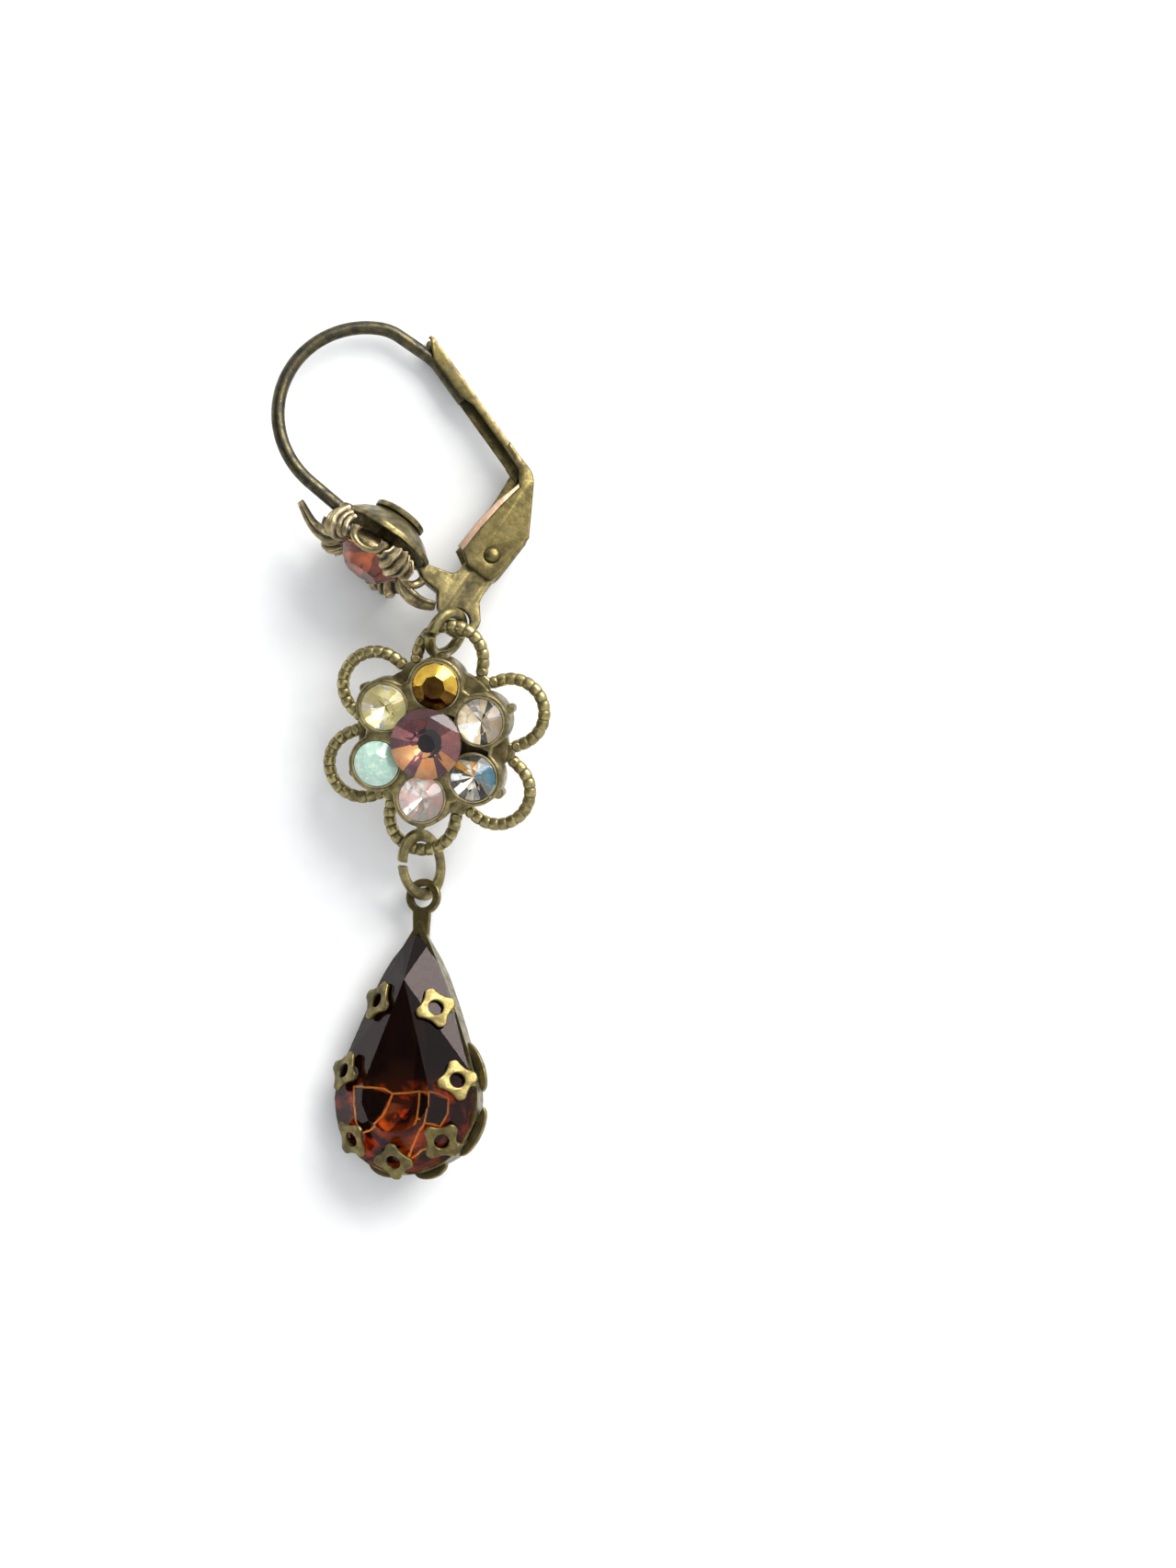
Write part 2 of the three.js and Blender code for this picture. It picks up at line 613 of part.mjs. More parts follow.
function pearStone() {
  const points = [
    ...pearRing(STONE_R, 0.02, 12, 2),
    ...pearRing(STONE_R, -0.2, 12, 2),
    ...pearRing(CROWN.tableR, CROWN.table, 8, 1),
    ...pearRing(2.2, -1.35, 8, 1),
    new THREE.Vector3(0, 2.6, -2.25),
    new THREE.Vector3(0, -0.4, -2.35),
  ];
  return new ConvexGeometry(points);
}

// ---------------------------------------------------------------- assembly

const leverback = lay(new THREE.Group(), LEVERBACK);
leverback.add(piece('ear_hook', earHook(), OLD_BRASS));
leverback.add(piece('lever', lever(), WORN_BRASS));
leverback.add(piece('pivot_rivet', pivotRivet(), WORN_BRASS));
leverback.add(piece('cup_rivet', cupRivet(), OLD_BRASS));
const front = new THREE.Group();
front.position.set(FLOWER_X, CUP_Y, 0);
front.rotation.y = -Math.PI / 2;
front.add(piece('front_flower', flower(), PALE_BRASS));
front.add(piece('front_stone', chaton(FRONT_STONE, 8), glass(0x9a4a22)));
leverback.add(front);

const middle = lay(new THREE.Group(), LINK);
middle.add(piece('filigree_link', link(), OLD_BRASS));
middle.add(piece('cluster_cup', clusterCup(), OLD_BRASS));
const stoneColours = {
  top: 0x7a5a20, upper_left: 0xe8e2b8, lower_left: 0x9fc9b8, bottom: 0xe9cfc6, lower_right: 0x9aa6a8, upper_right: 0xe0cfb4,
};
Object.entries(stoneColours).forEach(([place, colour], i) => {
  const [x, y, a] = clusterSpots()[i];
  const stone = piece(`stone_${place}`, chaton(SMALL), glass(colour));
  stone.position.set(x, y, 0);
  stone.rotation.z = a;
  middle.add(stone);
});
middle.add(piece('stone_centre', chaton(CENTRE, 14), glass(0x5a2530)));

const UPPER_RING = { x: 1.857, y: 6.018, z: 3.81, rises: 150, by: 54.66, turn: 150 };
const LOWER_RING = { x: 0.506, y: -6.248, z: 1.89, rises: 160.71, by: 47.38, turn: 31.75 };
const upperRing = lay(new THREE.Group(), UPPER_RING);
upperRing.add(piece('upper_jump_ring', openRing(1.18, 1.18, 0.3, 0.3, 20, 10, 20), OLD_BRASS));
const lowerRing = lay(new THREE.Group(), LOWER_RING);
lowerRing.add(piece('lower_jump_ring', openRing(1.832, 1.264, 0.27, 0.22, 150, 8, 24), OLD_BRASS));

const drop = lay(new THREE.Group(), DROP);
drop.add(piece('pear_setting', pearSetting(), WORN_BRASS));
drop.add(piece('pear_stone', pearStone(), glass(0x5a2408)));

const earring = new THREE.Group();
earring.add(leverback, middle, upperRing, lowerRing, drop);

export default earring;
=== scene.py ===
"""A drop earring of aged brass and coloured glass, lying on a pale table.

From the top down: a leverback ear wire with a cast flower on its front, a jump ring, a pierced
six-petal link with a cluster of stones, a second jump ring, and a pear-shaped stone in claws.
Each piece is shaped in millimetres in the frame of its own sub-assembly, then laid in its place.
"""

import math
import random

import bmesh
import bpy
from mathutils import Matrix, Vector


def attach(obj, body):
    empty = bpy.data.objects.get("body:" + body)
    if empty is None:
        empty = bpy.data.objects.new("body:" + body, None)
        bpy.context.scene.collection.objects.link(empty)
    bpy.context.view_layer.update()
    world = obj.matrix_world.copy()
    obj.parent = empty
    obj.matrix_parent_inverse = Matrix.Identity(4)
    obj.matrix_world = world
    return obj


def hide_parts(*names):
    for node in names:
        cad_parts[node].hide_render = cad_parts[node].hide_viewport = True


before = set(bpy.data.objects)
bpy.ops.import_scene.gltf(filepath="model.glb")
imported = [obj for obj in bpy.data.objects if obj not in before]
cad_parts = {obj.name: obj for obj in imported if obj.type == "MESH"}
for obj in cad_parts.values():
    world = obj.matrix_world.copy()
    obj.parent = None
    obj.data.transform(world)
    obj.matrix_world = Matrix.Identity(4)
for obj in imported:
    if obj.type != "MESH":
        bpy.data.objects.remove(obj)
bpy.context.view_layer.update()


# ---------------------------------------------------------------- table, light and camera
# A wide pale table with a faint tooth, in a plain bright room with one large soft light at the
# upper right and a darker patch of ceiling at the left. The camera looks straight down.

def fresh(piece=None):
    """Leaves edit mode with nothing selected, or with one piece selected and active."""
    if bpy.context.object and bpy.context.object.mode != "OBJECT":
        bpy.ops.object.mode_set(mode="OBJECT")
    bpy.ops.object.select_all(action="DESELECT")
    if piece:
        piece.select_set(True)
        bpy.context.view_layer.objects.active = piece


def fill(tree, node, values):
    """Gives a node's sockets, by name or number, a plain value or a link from another node each."""
    for socket, value in values.items():
        if isinstance(value, bpy.types.NodeSocket):
            tree.links.new(value, node.inputs[socket])
        else:
            node.inputs[socket].default_value = value


def object_point(tree):
    """A point's own place on its piece, in metres."""
    return tree.nodes.new("ShaderNodeTexCoord").outputs["Object"]


def noise(tree, point, scale, detail=3.0, roughness=0.5, distortion=0.0):
    """Clouds, finer as the scale rises."""
    cloud = tree.nodes.new("ShaderNodeTexNoise")
    fill(tree, cloud, {"Vector": point, "Scale": scale, "Detail": detail, "Roughness": roughness,
                       "Distortion": distortion})
    return cloud.outputs["Fac"]


def spread(tree, value, low, high, to_low=0.0, to_high=1.0):
    """A value stretched from one range to another, and held inside the second."""
    stretch = tree.nodes.new("ShaderNodeMapRange")
    fill(tree, stretch, {0: value, 1: low, 2: high, 3: to_low, 4: to_high})
    return stretch.outputs[0]


def maths(tree, how, first, second=0.0, clamp=False):
    """One sum, named as the Math node names it."""
    sum_up = tree.nodes.new("ShaderNodeMath")
    sum_up.operation = how
    sum_up.use_clamp = clamp
    fill(tree, sum_up, {0: first, 1: second})
    return sum_up.outputs[0]


def tinted(tree, amount, first, second):
    """The first colour, going over to the second as the amount rises."""
    mix = tree.nodes.new("ShaderNodeMix")
    mix.data_type = "RGBA"
    fill(tree, mix, {0: amount, 6: first, 7: second})
    return mix.outputs[2]


def bumped(tree, height, strength, distance):
    """Fine relief, its depth in metres."""
    bump = tree.nodes.new("ShaderNodeBump")
    fill(tree, bump, {"Strength": strength, "Distance": distance, "Height": height})
    return bump.outputs["Normal"]


def new_material(name):
    """A new material, its node tree and its shader."""
    material = bpy.data.materials.new(name)
    material.use_nodes = True
    return material, material.node_tree, material.node_tree.nodes["Principled BSDF"]


TABLE_SIZE = 4
DARK_PATCH = (-0.6, 0.18, 0.78)
WINDOW_AT = (0.36, 0.42, 0.34)
CAMERA_AT = (0.009366, -0.001951, 0.280)

fresh()
bpy.ops.mesh.primitive_plane_add(size=TABLE_SIZE)
table = bpy.context.object
table.name = "table"
bpy.ops.object.mode_set(mode="EDIT")
bpy.ops.mesh.subdivide(number_cuts=7)
bpy.ops.object.mode_set(mode="OBJECT")
paper, tree, shader = new_material("pale_table")
tooth = noise(tree, object_point(tree), 900, 4)
pale = tinted(tree, tooth, (0.86, 0.86, 0.85, 1), (0.92, 0.92, 0.91, 1))
fill(tree, shader, {"Base Color": pale, "Roughness": 0.85, "Normal": bumped(tree, tooth, 0.1, 0.0001)})
table.data.materials.append(paper)

bpy.context.scene.view_settings.view_transform = "Standard"
room = bpy.context.scene.world or bpy.data.worlds.new("room")
bpy.context.scene.world = room
room.use_nodes = True
sky = room.node_tree
toward = sky.nodes.new("ShaderNodeVectorMath")
toward.operation = "DOT_PRODUCT"
fill(sky, toward, {0: sky.nodes.new("ShaderNodeTexCoord").outputs["Generated"], 1: DARK_PATCH})
ceiling = spread(sky, toward.outputs["Value"], 0.8, 0.96)
ceiling = tinted(sky, ceiling, (0.93, 0.96, 1.0, 1), (0.1, 0.1, 0.11, 1))
fill(sky, sky.nodes["Background"], {"Color": ceiling, "Strength": 1.05})
bpy.ops.object.light_add(type="AREA", location=WINDOW_AT)
window = bpy.context.object
window.name = "window"
window.data.size = 0.5
window.data.energy = 6.5
window.data.color = (1.0, 0.985, 0.96)
window.rotation_euler = (-window.location).to_track_quat("-Z", "Y").to_euler()

bpy.ops.object.camera_add(location=CAMERA_AT, rotation=(0, 0, 0))
camera = bpy.context.object
camera.data.sensor_width = 36
camera.data.sensor_fit = "HORIZONTAL"
camera.data.lens = 159.8
camera.data.clip_start = 0.01
camera.data.clip_end = 20
bpy.context.scene.camera = camera


# ---------------------------------------------------------------- ear hook
# One round brass wire bent to the ear and soldered to a shallow spun cone, with a cast bracket
# under it: a tongue for the lever's pivot and an eye for the jump ring. Antiqued, then rubbed back.

MM = 0.001


def moved(x, y, z):
    """A shift without a turn, in the piece's own units."""
    return Matrix.Translation((x, y, z))


def spun(axis, degrees):
    """A turn about an axis, in degrees."""
    return Matrix.Rotation(math.radians(degrees), 4, axis)


def lay(x, y, z, rises, by, turn):
    """A sub-assembly's place: it rises towards one direction and is turned about its own axis."""
    tilt = spun("Z", rises) @ spun("Y", -by) @ spun("Z", turn - rises)
    return moved(x * MM, y * MM, z * MM) @ tilt @ Matrix.Scale(MM, 4)


def set_at(piece, place=None):
    """Puts a piece at a place, or leaves it at its own, and works the place into its mesh."""
    fresh(piece)
    piece.matrix_world = place or piece.matrix_world.copy()
    bpy.ops.object.transform_apply(location=True, rotation=True, scale=True)
    return piece


def modified(piece, kind, **settings):
    """Puts one modifier on a piece and applies it."""
    fresh(piece)
    modifier = piece.modifiers.new("step", kind)
    for setting, value in settings.items():
        setattr(modifier, setting, value)
    bpy.ops.object.modifier_apply(modifier=modifier.name)
    return piece


def take_all():
    """Selects the whole mesh, in edit mode."""
    bpy.ops.mesh.select_all(action="SELECT")


def outwards():
    """Turns all the faces outwards, in edit mode, then leaves it."""
    take_all()
    bpy.ops.mesh.normals_make_consistent(inside=False)
    bpy.ops.object.mode_set(mode="OBJECT")
    return bpy.context.object


def close_up():
    """Merges doubled points and closes what is open, in edit mode, then leaves it."""
    bpy.ops.mesh.select_mode(type="VERT")
    take_all()
    bpy.ops.mesh.remove_doubles(threshold=0.001)
    take_all()
    bpy.ops.mesh.fill_holes(sides=0)
    return outwards()


def turned(profile, sides=48):
    """A piece turned on the lathe about Z, from rings of (radius, height)."""
    fresh()
    (radius, height), *rings = profile
    bpy.ops.mesh.primitive_circle_add(vertices=sides, radius=radius)
    bpy.ops.object.mode_set(mode="EDIT")
    bpy.ops.transform.translate(value=(0, 0, height))
    for next_radius, next_height in rings:
        bpy.ops.mesh.extrude_edges_move(TRANSFORM_OT_translate={"value": (0, 0, next_height - height)})
        grow = next_radius / radius
        bpy.ops.transform.resize(value=(grow, grow, 1), center_override=(0, 0, next_height))
        radius, height = next_radius, next_height
    return close_up()


def arc(x, y, radius, start, end, steps):
    """Points along an arc, from one angle to another in degrees, both ends included."""
    angles = [math.radians(start + (end - start) * step / steps) for step in range(steps + 1)]
    return [(x + radius * math.cos(a), y + radius * math.sin(a)) for a in angles]


def swoop(start, pull, end, steps=6):
    """Points along a curve that leaves start towards pull and arrives at end."""
    points = []
    for step in range(1, steps + 1):
        t = step / steps
        points.append(tuple((1 - t) ** 2 * s + 2 * t * (1 - t) * p + t * t * e
                            for s, p, e in zip(start, pull, end)))
    return points


def brought_in(name, data):
    """A new piece with the given mesh or curve, selected and active."""
    piece = bpy.data.objects.new(name, data)
    bpy.context.collection.objects.link(piece)
    fresh(piece)
    return piece


def drawn(curve, points, closed=False):
    """Adds straight lines through some points to a curve."""
    line = curve.splines.new("POLY")
    line.points.add(len(points) - 1)
    for point, place in zip(line.points, points):
        point.co = (*place, 1)
    line.use_cyclic_u = closed


def cut_sheet(outline, thickness, edge, holes=()):
    """A plate sawn out of sheet, with its edges rounded over, lying in the middle of z = 0."""
    flat = bpy.data.curves.new("sheet", "CURVE")
    flat.dimensions = "2D"
    flat.fill_mode = "BOTH"
    flat.extrude = thickness / 2 - edge
    flat.bevel_depth = edge
    flat.bevel_resolution = 2
    flat.offset = -edge
    for loop in (outline, *holes):
        drawn(flat, [(x, y, 0) for x, y in loop], True)
    brought_in("sheet", flat)
    bpy.ops.object.convert(target="MESH")
    bpy.ops.object.mode_set(mode="EDIT")
    return close_up()


def carve(piece, tool):
    """Cuts a tool away from a piece."""
    modified(piece, "BOOLEAN", operation="DIFFERENCE", solver="EXACT", object=tool)
    bpy.data.objects.remove(tool)
    return piece


def soften(piece, width, angle=35):
    """Rounds the edges of a piece that are sharper than an angle."""
    return modified(piece, "BEVEL", width=width, segments=2, limit_method="ANGLE",
                    angle_limit=math.radians(angle))


def clad(piece, skins, number=0):
    """Gives a piece the list of its assembly's finishes, and one of them, by number, all over."""
    for skin in skins:
        piece.data.materials.append(skin)
    piece.data.polygons.foreach_set("material_index", [number] * len(piece.data.polygons))
    return piece


def soldered(name, *parts):
    """Several parts made into one named piece."""
    fresh()
    for part in parts:
        part.select_set(True)
    bpy.context.view_layer.objects.active = parts[0]
    if len(parts) > 1:
        bpy.ops.object.join()
    parts[0].name = name
    parts[0].data.name = name
    return parts[0]


def finished(piece, place, skin=None, smooth=32):
    """Lays a piece in its place, smooths its rounded faces, and gives it a finish, if one is named."""
    set_at(piece, place)
    bpy.ops.object.shade_smooth_by_angle(angle=math.radians(smooth))
    modified(piece, "WEIGHTED_NORMAL", keep_sharp=True)
    if skin:
        piece.data.materials.append(skin)
    return piece


def crowding(tree, distance, inside):
    """How closed in a point is: from the outside its hollows, from the inside its edges."""
    near = tree.nodes.new("ShaderNodeAmbientOcclusion")
    near.samples = 6
    near.inside = inside
    near.only_local = inside
    near.inputs["Distance"].default_value = distance
    return maths(tree, "SUBTRACT", 1.0, near.outputs["AO"])


def aged_brass_group():
    """Brass that was blackened and rubbed back: dark patches, dark hollows that are partly black patina and
    partly painted shade, bright worn edges.
    """
    tree = bpy.data.node_groups.new("aged brass", "ShaderNodeTree")
    colours = {"Clean": (0.4, 0.3, 0.1, 1), "Dull": (0.2, 0.16, 0.06, 1), "Dirt_and_shade": (0.02, 0.02, 0.01, 1),
               "Worn": (0.7, 0.6, 0.4, 1)}
    amounts = {"Patches": 0.5, "Hollows": 0.8, "Wear": 0.6, "Folds": 0.0}
    for inputs, kind in ((colours, "NodeSocketColor"), (amounts, "NodeSocketFloat")):
        for name, value in inputs.items():
            socket = tree.interface.new_socket(name=name, in_out="INPUT", socket_type=kind)
            socket.default_value = value
    tree.interface.new_socket(name="Colour", in_out="OUTPUT", socket_type="NodeSocketColor")
    for name in ("Roughness", "Metal", "Height"):
        tree.interface.new_socket(name=name, in_out="OUTPUT", socket_type="NodeSocketFloat")
    given = tree.nodes.new("NodeGroupInput").outputs
    result = tree.nodes.new("NodeGroupOutput")
    point = object_point(tree)
    patch = spread(tree, noise(tree, point, 620, 4, 0.6, 0.4), 0.5, 0.68)
    mottle = spread(tree, noise(tree, point, 1900, 5, 0.65), 0.38, 0.62)
    grain = noise(tree, point, 11000, 3, 0.6)
    # Darkening in hollows and where parts close in: partly the black patina of antiqued brass, partly painted
    # shade.
    hollow_patina_and_shade = spread(tree, crowding(tree, 0.001, False), 0.3, 0.85)
    edge = spread(tree, crowding(tree, 0.00012, True), 0.35, 0.75)
    fold = tree.nodes.new("ShaderNodeNewGeometry").outputs["Pointiness"]
    fold = maths(tree, "MULTIPLY", spread(tree, fold, 0.49, 0.42), given["Folds"])
    hollow_patina_and_shade = maths(tree, "MAXIMUM", hollow_patina_and_shade, fold)
    crease = tree.nodes.new("ShaderNodeAttribute")
    crease.attribute_name = "crease"
    crease = maths(tree, "MULTIPLY", crease.outputs["Fac"], spread(tree, patch, 0.0, 1.0, 1.0, 0.4))
    hollow_patina_and_shade = maths(tree, "MAXIMUM", hollow_patina_and_shade, crease)
    pits = spread(tree, noise(tree, point, 4300, 5, 0.7), 0.56, 0.7)
    dark = maths(tree, "MULTIPLY", maths(tree, "MAXIMUM", patch, pits), given["Patches"])
    dark = maths(tree, "MAXIMUM", dark, maths(tree, "MULTIPLY", hollow_patina_and_shade, given["Hollows"]), True)
    open_to_wear = maths(tree, "SUBTRACT", 1.0, hollow_patina_and_shade)
    rubbed = maths(tree, "MULTIPLY", maths(tree, "MULTIPLY", edge, given["Wear"]), open_to_wear)
    rubbed = maths(tree, "MULTIPLY", rubbed, spread(tree, mottle, 0.0, 1.0, 0.45, 1.0), True)
    colour = tinted(tree, mottle, given["Dull"], given["Clean"])
    colour = tinted(tree, dark, colour, given["Dirt_and_shade"])
    colour = tinted(tree, rubbed, colour, given["Worn"])
    matt = maths(tree, "ADD", spread(tree, mottle, 0.0, 1.0, 0.38, 0.22), maths(tree, "MULTIPLY", dark, 0.24))
    matt = maths(tree, "ADD", matt, maths(tree, "MULTIPLY", grain, 0.06))
    metal = spread(tree, maths(tree, "SUBTRACT", dark, rubbed, True), 0.0, 1.0, 1.0, 0.35)
    relief = maths(tree, "ADD", maths(tree, "MULTIPLY", grain, 0.25), maths(tree, "MULTIPLY", mottle, 0.5))
    relief = maths(tree, "SUBTRACT", relief, maths(tree, "MULTIPLY", patch, 0.3))
    fill(tree, result, {"Colour": colour, "Roughness": matt, "Metal": metal, "Height": relief})
    return tree


AGED = aged_brass_group()


def brass(name, clean, dull, dirt_and_shade, worn, patches=0.5, hollows=0.8, wear=0.6, folds=0.0, relief=0.14):
    """A brass finish: the aged brass group with its own colours and amounts."""
    material, tree, shader = new_material(name)
    aged = tree.nodes.new("ShaderNodeGroup")
    aged.node_tree = AGED
    fill(tree, aged, {"Clean": (*clean, 1), "Dull": (*dull, 1), "Dirt_and_shade": (*dirt_and_shade, 1), "Worn": (*worn, 1),
                      "Patches": patches, "Hollows": hollows, "Wear": wear, "Folds": folds})
    given = aged.outputs
    fill(tree, shader, {"Base Color": given["Colour"], "Roughness": given["Roughness"],
                        "Metallic": given["Metal"], "Normal": bumped(tree, given["Height"], relief, 0.00006)})
    return material


OLD_BRASS = brass("old_brass", (0.318, 0.254, 0.107), (0.112, 0.091, 0.04), (0.022, 0.021, 0.012),
                  (0.62, 0.52, 0.3), patches=0.6, hollows=0.95)
DARK_WIRE = brass("dark_wire", (0.112, 0.094, 0.048), (0.04, 0.038, 0.029), (0.02, 0.02, 0.016),
                  (0.5, 0.42, 0.26), patches=0.7, hollows=0.9, wear=0.5, relief=0.2)

LEVERBACK = lay(4.17, 10.04, 2.43, rises=55.4, by=-12.5, turn=55.4)
WIRE_R = 0.36
ARCH = (2.66, 9.67)
ARCH_R = 4.84
ARCH_START = 174
ARCH_SWEEP = math.radians(146)
SHOULDER = math.radians(28)
BACK_X = 7.22
ELBOW_R = 2.5
ARM_SLOPE = math.radians(20.2)
ARM_BACK = 4.457
TAIL_INSIDE = 0.62
TAIL_Y = 6.0
CUP_Y = 5.18
CUP_RIM_X = -2.5
BRACKET_T = 0.9
EYE = (-3.88, -0.5)
EYE_R = 0.64
PIVOT_HOLE_R = 0.36


def arm_x(inside, y):
    """How far back a line along the lever's arm is, a given distance inside its back edge."""
    return (ARM_BACK - inside + math.sin(ARM_SLOPE) * y) / math.cos(ARM_SLOPE)


foot = Vector((ARCH[0] - ARCH_R - 0.24, CUP_Y + 2.42, 0))
spring = Vector((*arc(*ARCH, ARCH_R, ARCH_START, ARCH_START, 1)[0], 0))
fresh()
bpy.ops.mesh.primitive_circle_add(vertices=20, radius=WIRE_R, location=foot,
                                  rotation=(math.radians(90), 0, math.radians(-6)))
wire = bpy.context.object
bpy.ops.object.mode_set(mode="EDIT")
bpy.ops.mesh.extrude_edges_move(TRANSFORM_OT_translate={"value": spring - foot})
bpy.ops.mesh.spin(steps=56, angle=ARCH_SWEEP, center=(*ARCH, 0), axis=(0, 0, 1))
bend = math.cos(SHOULDER)
tight = (BACK_X - ARCH[0] - ARCH_R * bend) / (1 - bend)
tight_y = ARCH[1] + (ARCH_R - tight) * math.sin(SHOULDER)
bpy.ops.mesh.spin(steps=12, angle=SHOULDER, center=(BACK_X - tight, tight_y, 0), axis=(0, 0, 1))
elbow_x = BACK_X - ELBOW_R + ELBOW_R * math.cos(ARM_SLOPE)
elbow_drop = ELBOW_R * math.sin(ARM_SLOPE)
elbow_y = (elbow_x * math.cos(ARM_SLOPE) - ARM_BACK + TAIL_INSIDE) / math.sin(ARM_SLOPE) + elbow_drop
bpy.ops.mesh.extrude_edges_move(TRANSFORM_OT_translate={"value": (0, elbow_y - tight_y, 0)})
bpy.ops.mesh.spin(steps=8, angle=ARM_SLOPE, center=(BACK_X - ELBOW_R, elbow_y, 0), axis=(0, 0, 1))
tail = (arm_x(TAIL_INSIDE, TAIL_Y) - elbow_x, TAIL_Y - elbow_y + elbow_drop, 0)
bpy.ops.mesh.extrude_edges_move(TRANSFORM_OT_translate={"value": tail})
close_up()
set_at(wire)

cone = turned([(0.6, 1.3), (1.32, 1.3), (2.05, 0.86), (2.6, 0.36), (2.7, 0.3), (2.72, 0.22), (2.72, 0.04),
               (2.68, 0.0), (2.5, 0.0), (2.46, 0.04), (1.9, 0.52), (1.2, 0.95), (0.6, 0.95), (0.6, 1.3)], 72)
set_at(cone, moved(CUP_RIM_X, CUP_Y, 0) @ spun("Y", 90))

outline = [(-2.72, 2.85), (-3.12, 2.3), (-3.2, 1.3), (-3.95, 0.8)]
outline += arc(-3.62, -0.46, 1.14, 112, 292, 24)
outline += [(-2.4, -0.9), (-1.95, -0.82)]
outline += arc(0, 0, 0.9, -105, 95, 20) + [(-1.35, 0.98)]
outline += swoop((-1.35, 0.98), (-1.9, 0.95), (-2.0, 1.45)) + [(-2.3, 2.6)]
bracket = cut_sheet(outline, BRACKET_T, 0.13, [arc(*EYE, EYE_R, 0, 345, 23)])
thinned = turned([(0.2, -2), (1.5, -2), (1.5, 0.03), (0.2, 0.03)])
carve(bracket, set_at(thinned, moved(*EYE, 0)))
carve(bracket, turned([(PIVOT_HOLE_R, -1), (PIVOT_HOLE_R, 1)], 24))
soften(bracket, 0.05, 50)

# A lump of solder where the wire meets the cone.
fresh()
bpy.ops.mesh.primitive_ico_sphere_add(subdivisions=4, radius=0.5, location=(-2.3, 7.62, 0.12))
lump = bpy.context.object
bpy.ops.object.mode_set(mode="EDIT")
bpy.ops.transform.resize(value=(0.8, 1.15, 0.8))
bpy.ops.transform.vertex_random(offset=0.02, seed=4)
bpy.ops.mesh.vertices_smooth(factor=0.5, repeat=2)
close_up()

finishes = [OLD_BRASS, DARK_WIRE]
parts = [clad(part, finishes) for part in (cone, bracket, set_at(lump))]
ear_hook = soldered("ear_wire", clad(wire, finishes, 1), *parts)
finished(ear_hook, LEVERBACK, smooth=20)
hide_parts("ear_hook")
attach(ear_hook, "earring")


# ---------------------------------------------------------------- lever
# The lever is folded from one brass sheet: a channel over the bracket, and a narrow trough up
# the arm that the wire's tail snaps into. It swings on the pivot; one lip is worn to copper.

WORN_BRASS = brass("worn_brass", (0.195, 0.154, 0.058), (0.09, 0.072, 0.027), (0.025, 0.023, 0.012),
                   (0.5, 0.4, 0.22), patches=0.65, hollows=0.95, wear=0.5)
COPPER_LIP = brass("copper_lip", (0.51, 0.34, 0.238), (0.323, 0.212, 0.136), (0.05, 0.035, 0.02),
                   (0.8, 0.62, 0.46), patches=0.25, hollows=0.5, wear=0.9)
CHANNEL_T = 0.35
CHANNEL_Z = 0.695
TROUGH_T = 0.19
TROUGH_Z = 0.515
PINCH_Y = 1.8
PINCH = 0.25


def pick(test):
    """Selects the points that pass a test, in edit mode."""
    bpy.ops.mesh.select_mode(type="VERT")
    bpy.ops.mesh.select_all(action="DESELECT")
    mesh = bpy.context.object.data
    shape = bmesh.from_edit_mesh(mesh)
    for point in shape.verts:
        if test(point):
            point.select_set(True)
    bmesh.update_edit_mesh(mesh)


def up_arm(*places):
    """Points up the lever's arm, each from how far inside its back edge it is, and its height."""
    return [(arm_x(inside, y), y) for inside, y in places]


def folded(outline, thickness, z, edge, holes=()):
    """One side of the folded sheet, at its height."""
    return set_at(cut_sheet(outline, thickness, edge, holes), moved(0, 0, z))


# Outlines of the channel's two plates and web, then of the trough's two walls and back.
heel = [(-1.2, 0.8), (-1.25, -0.35)] + swoop((-1.25, -0.35), (-1.2, -0.88), (-0.5, -0.98))
heel += [(1.95, -1.1), (4.5, 0.32)]
knee = swoop((4.5, 0.32), (4.98, 0.6), *up_arm((0, 1.1))) + up_arm((0, 2.1))
tip = up_arm((0, 9.0)) + swoop(*up_arm((0, 9.0), (0, 9.5), (0.3, 9.45)))
pivot = arc(0, 0, PIVOT_HOLE_R, 0, 345, 23)
near_lip = up_arm((0.42, 2.1), (0.42, 1.5)) + [(3.95, 0.9), (2.62, 1.14), (0.98, 1.34), (-0.68, 1.44)]
far_lip = up_arm((0.82, 2.1), (0.82, 1.7)) + swoop(*up_arm((0.82, 1.7)), (2.2, 1.45), (-0.6, 1.75), 10)
web = up_arm((0, 1.6), (0.29, 1.6), (0.29, 1.3))
web += [(4.3, 0.66), (1.82, -0.75), (1.82, -1.05), (1.95, -1.08)]
root = up_arm((0.42, 1.2), (0.02, 1.2))
near_wall = up_arm((0.25, 9.35), (0.72, 8.6), (0.68, 6.2), (0.42, 5.4)) + root
far_wall = swoop(up_arm((0.3, 9.45))[0], (arm_x(0.82, 9.3), 9.2), up_arm((0.82, 8.4))[0])
far_wall += up_arm((0.82, 1.2), (0.02, 1.2))
spine = up_arm((0.01, 9.2), (0.19, 9.2), (0.19, 1.2), (0.01, 1.2))
# The channel's near plate is pinched in to meet the trough.
near_plate = folded(heel + knee + near_lip, CHANNEL_T, CHANNEL_Z, 0.15, [pivot])
fresh(near_plate)
bpy.ops.object.mode_set(mode="EDIT")
pick(lambda p: p.co.y > PINCH_Y)
bpy.ops.transform.translate(value=(0, 0, -PINCH))
bpy.ops.object.mode_set(mode="OBJECT")
sides = [
    near_plate,
    folded(heel + knee + far_lip, CHANNEL_T, -CHANNEL_Z, 0.15, [pivot]),
    folded([(4.48, 0.33)] + knee[:-1] + web, 1.34, 0, 0.02),
    folded(tip + near_wall, TROUGH_T, TROUGH_Z, 0.08),
    folded(tip + far_wall, TROUGH_T, -TROUGH_Z, 0.08),
    folded(spine, 1.16, 0, 0.06),
    folded(up_arm((0, 2.7), (0.3, 2.7)) + root, 1.46, 0, 0.14),
]
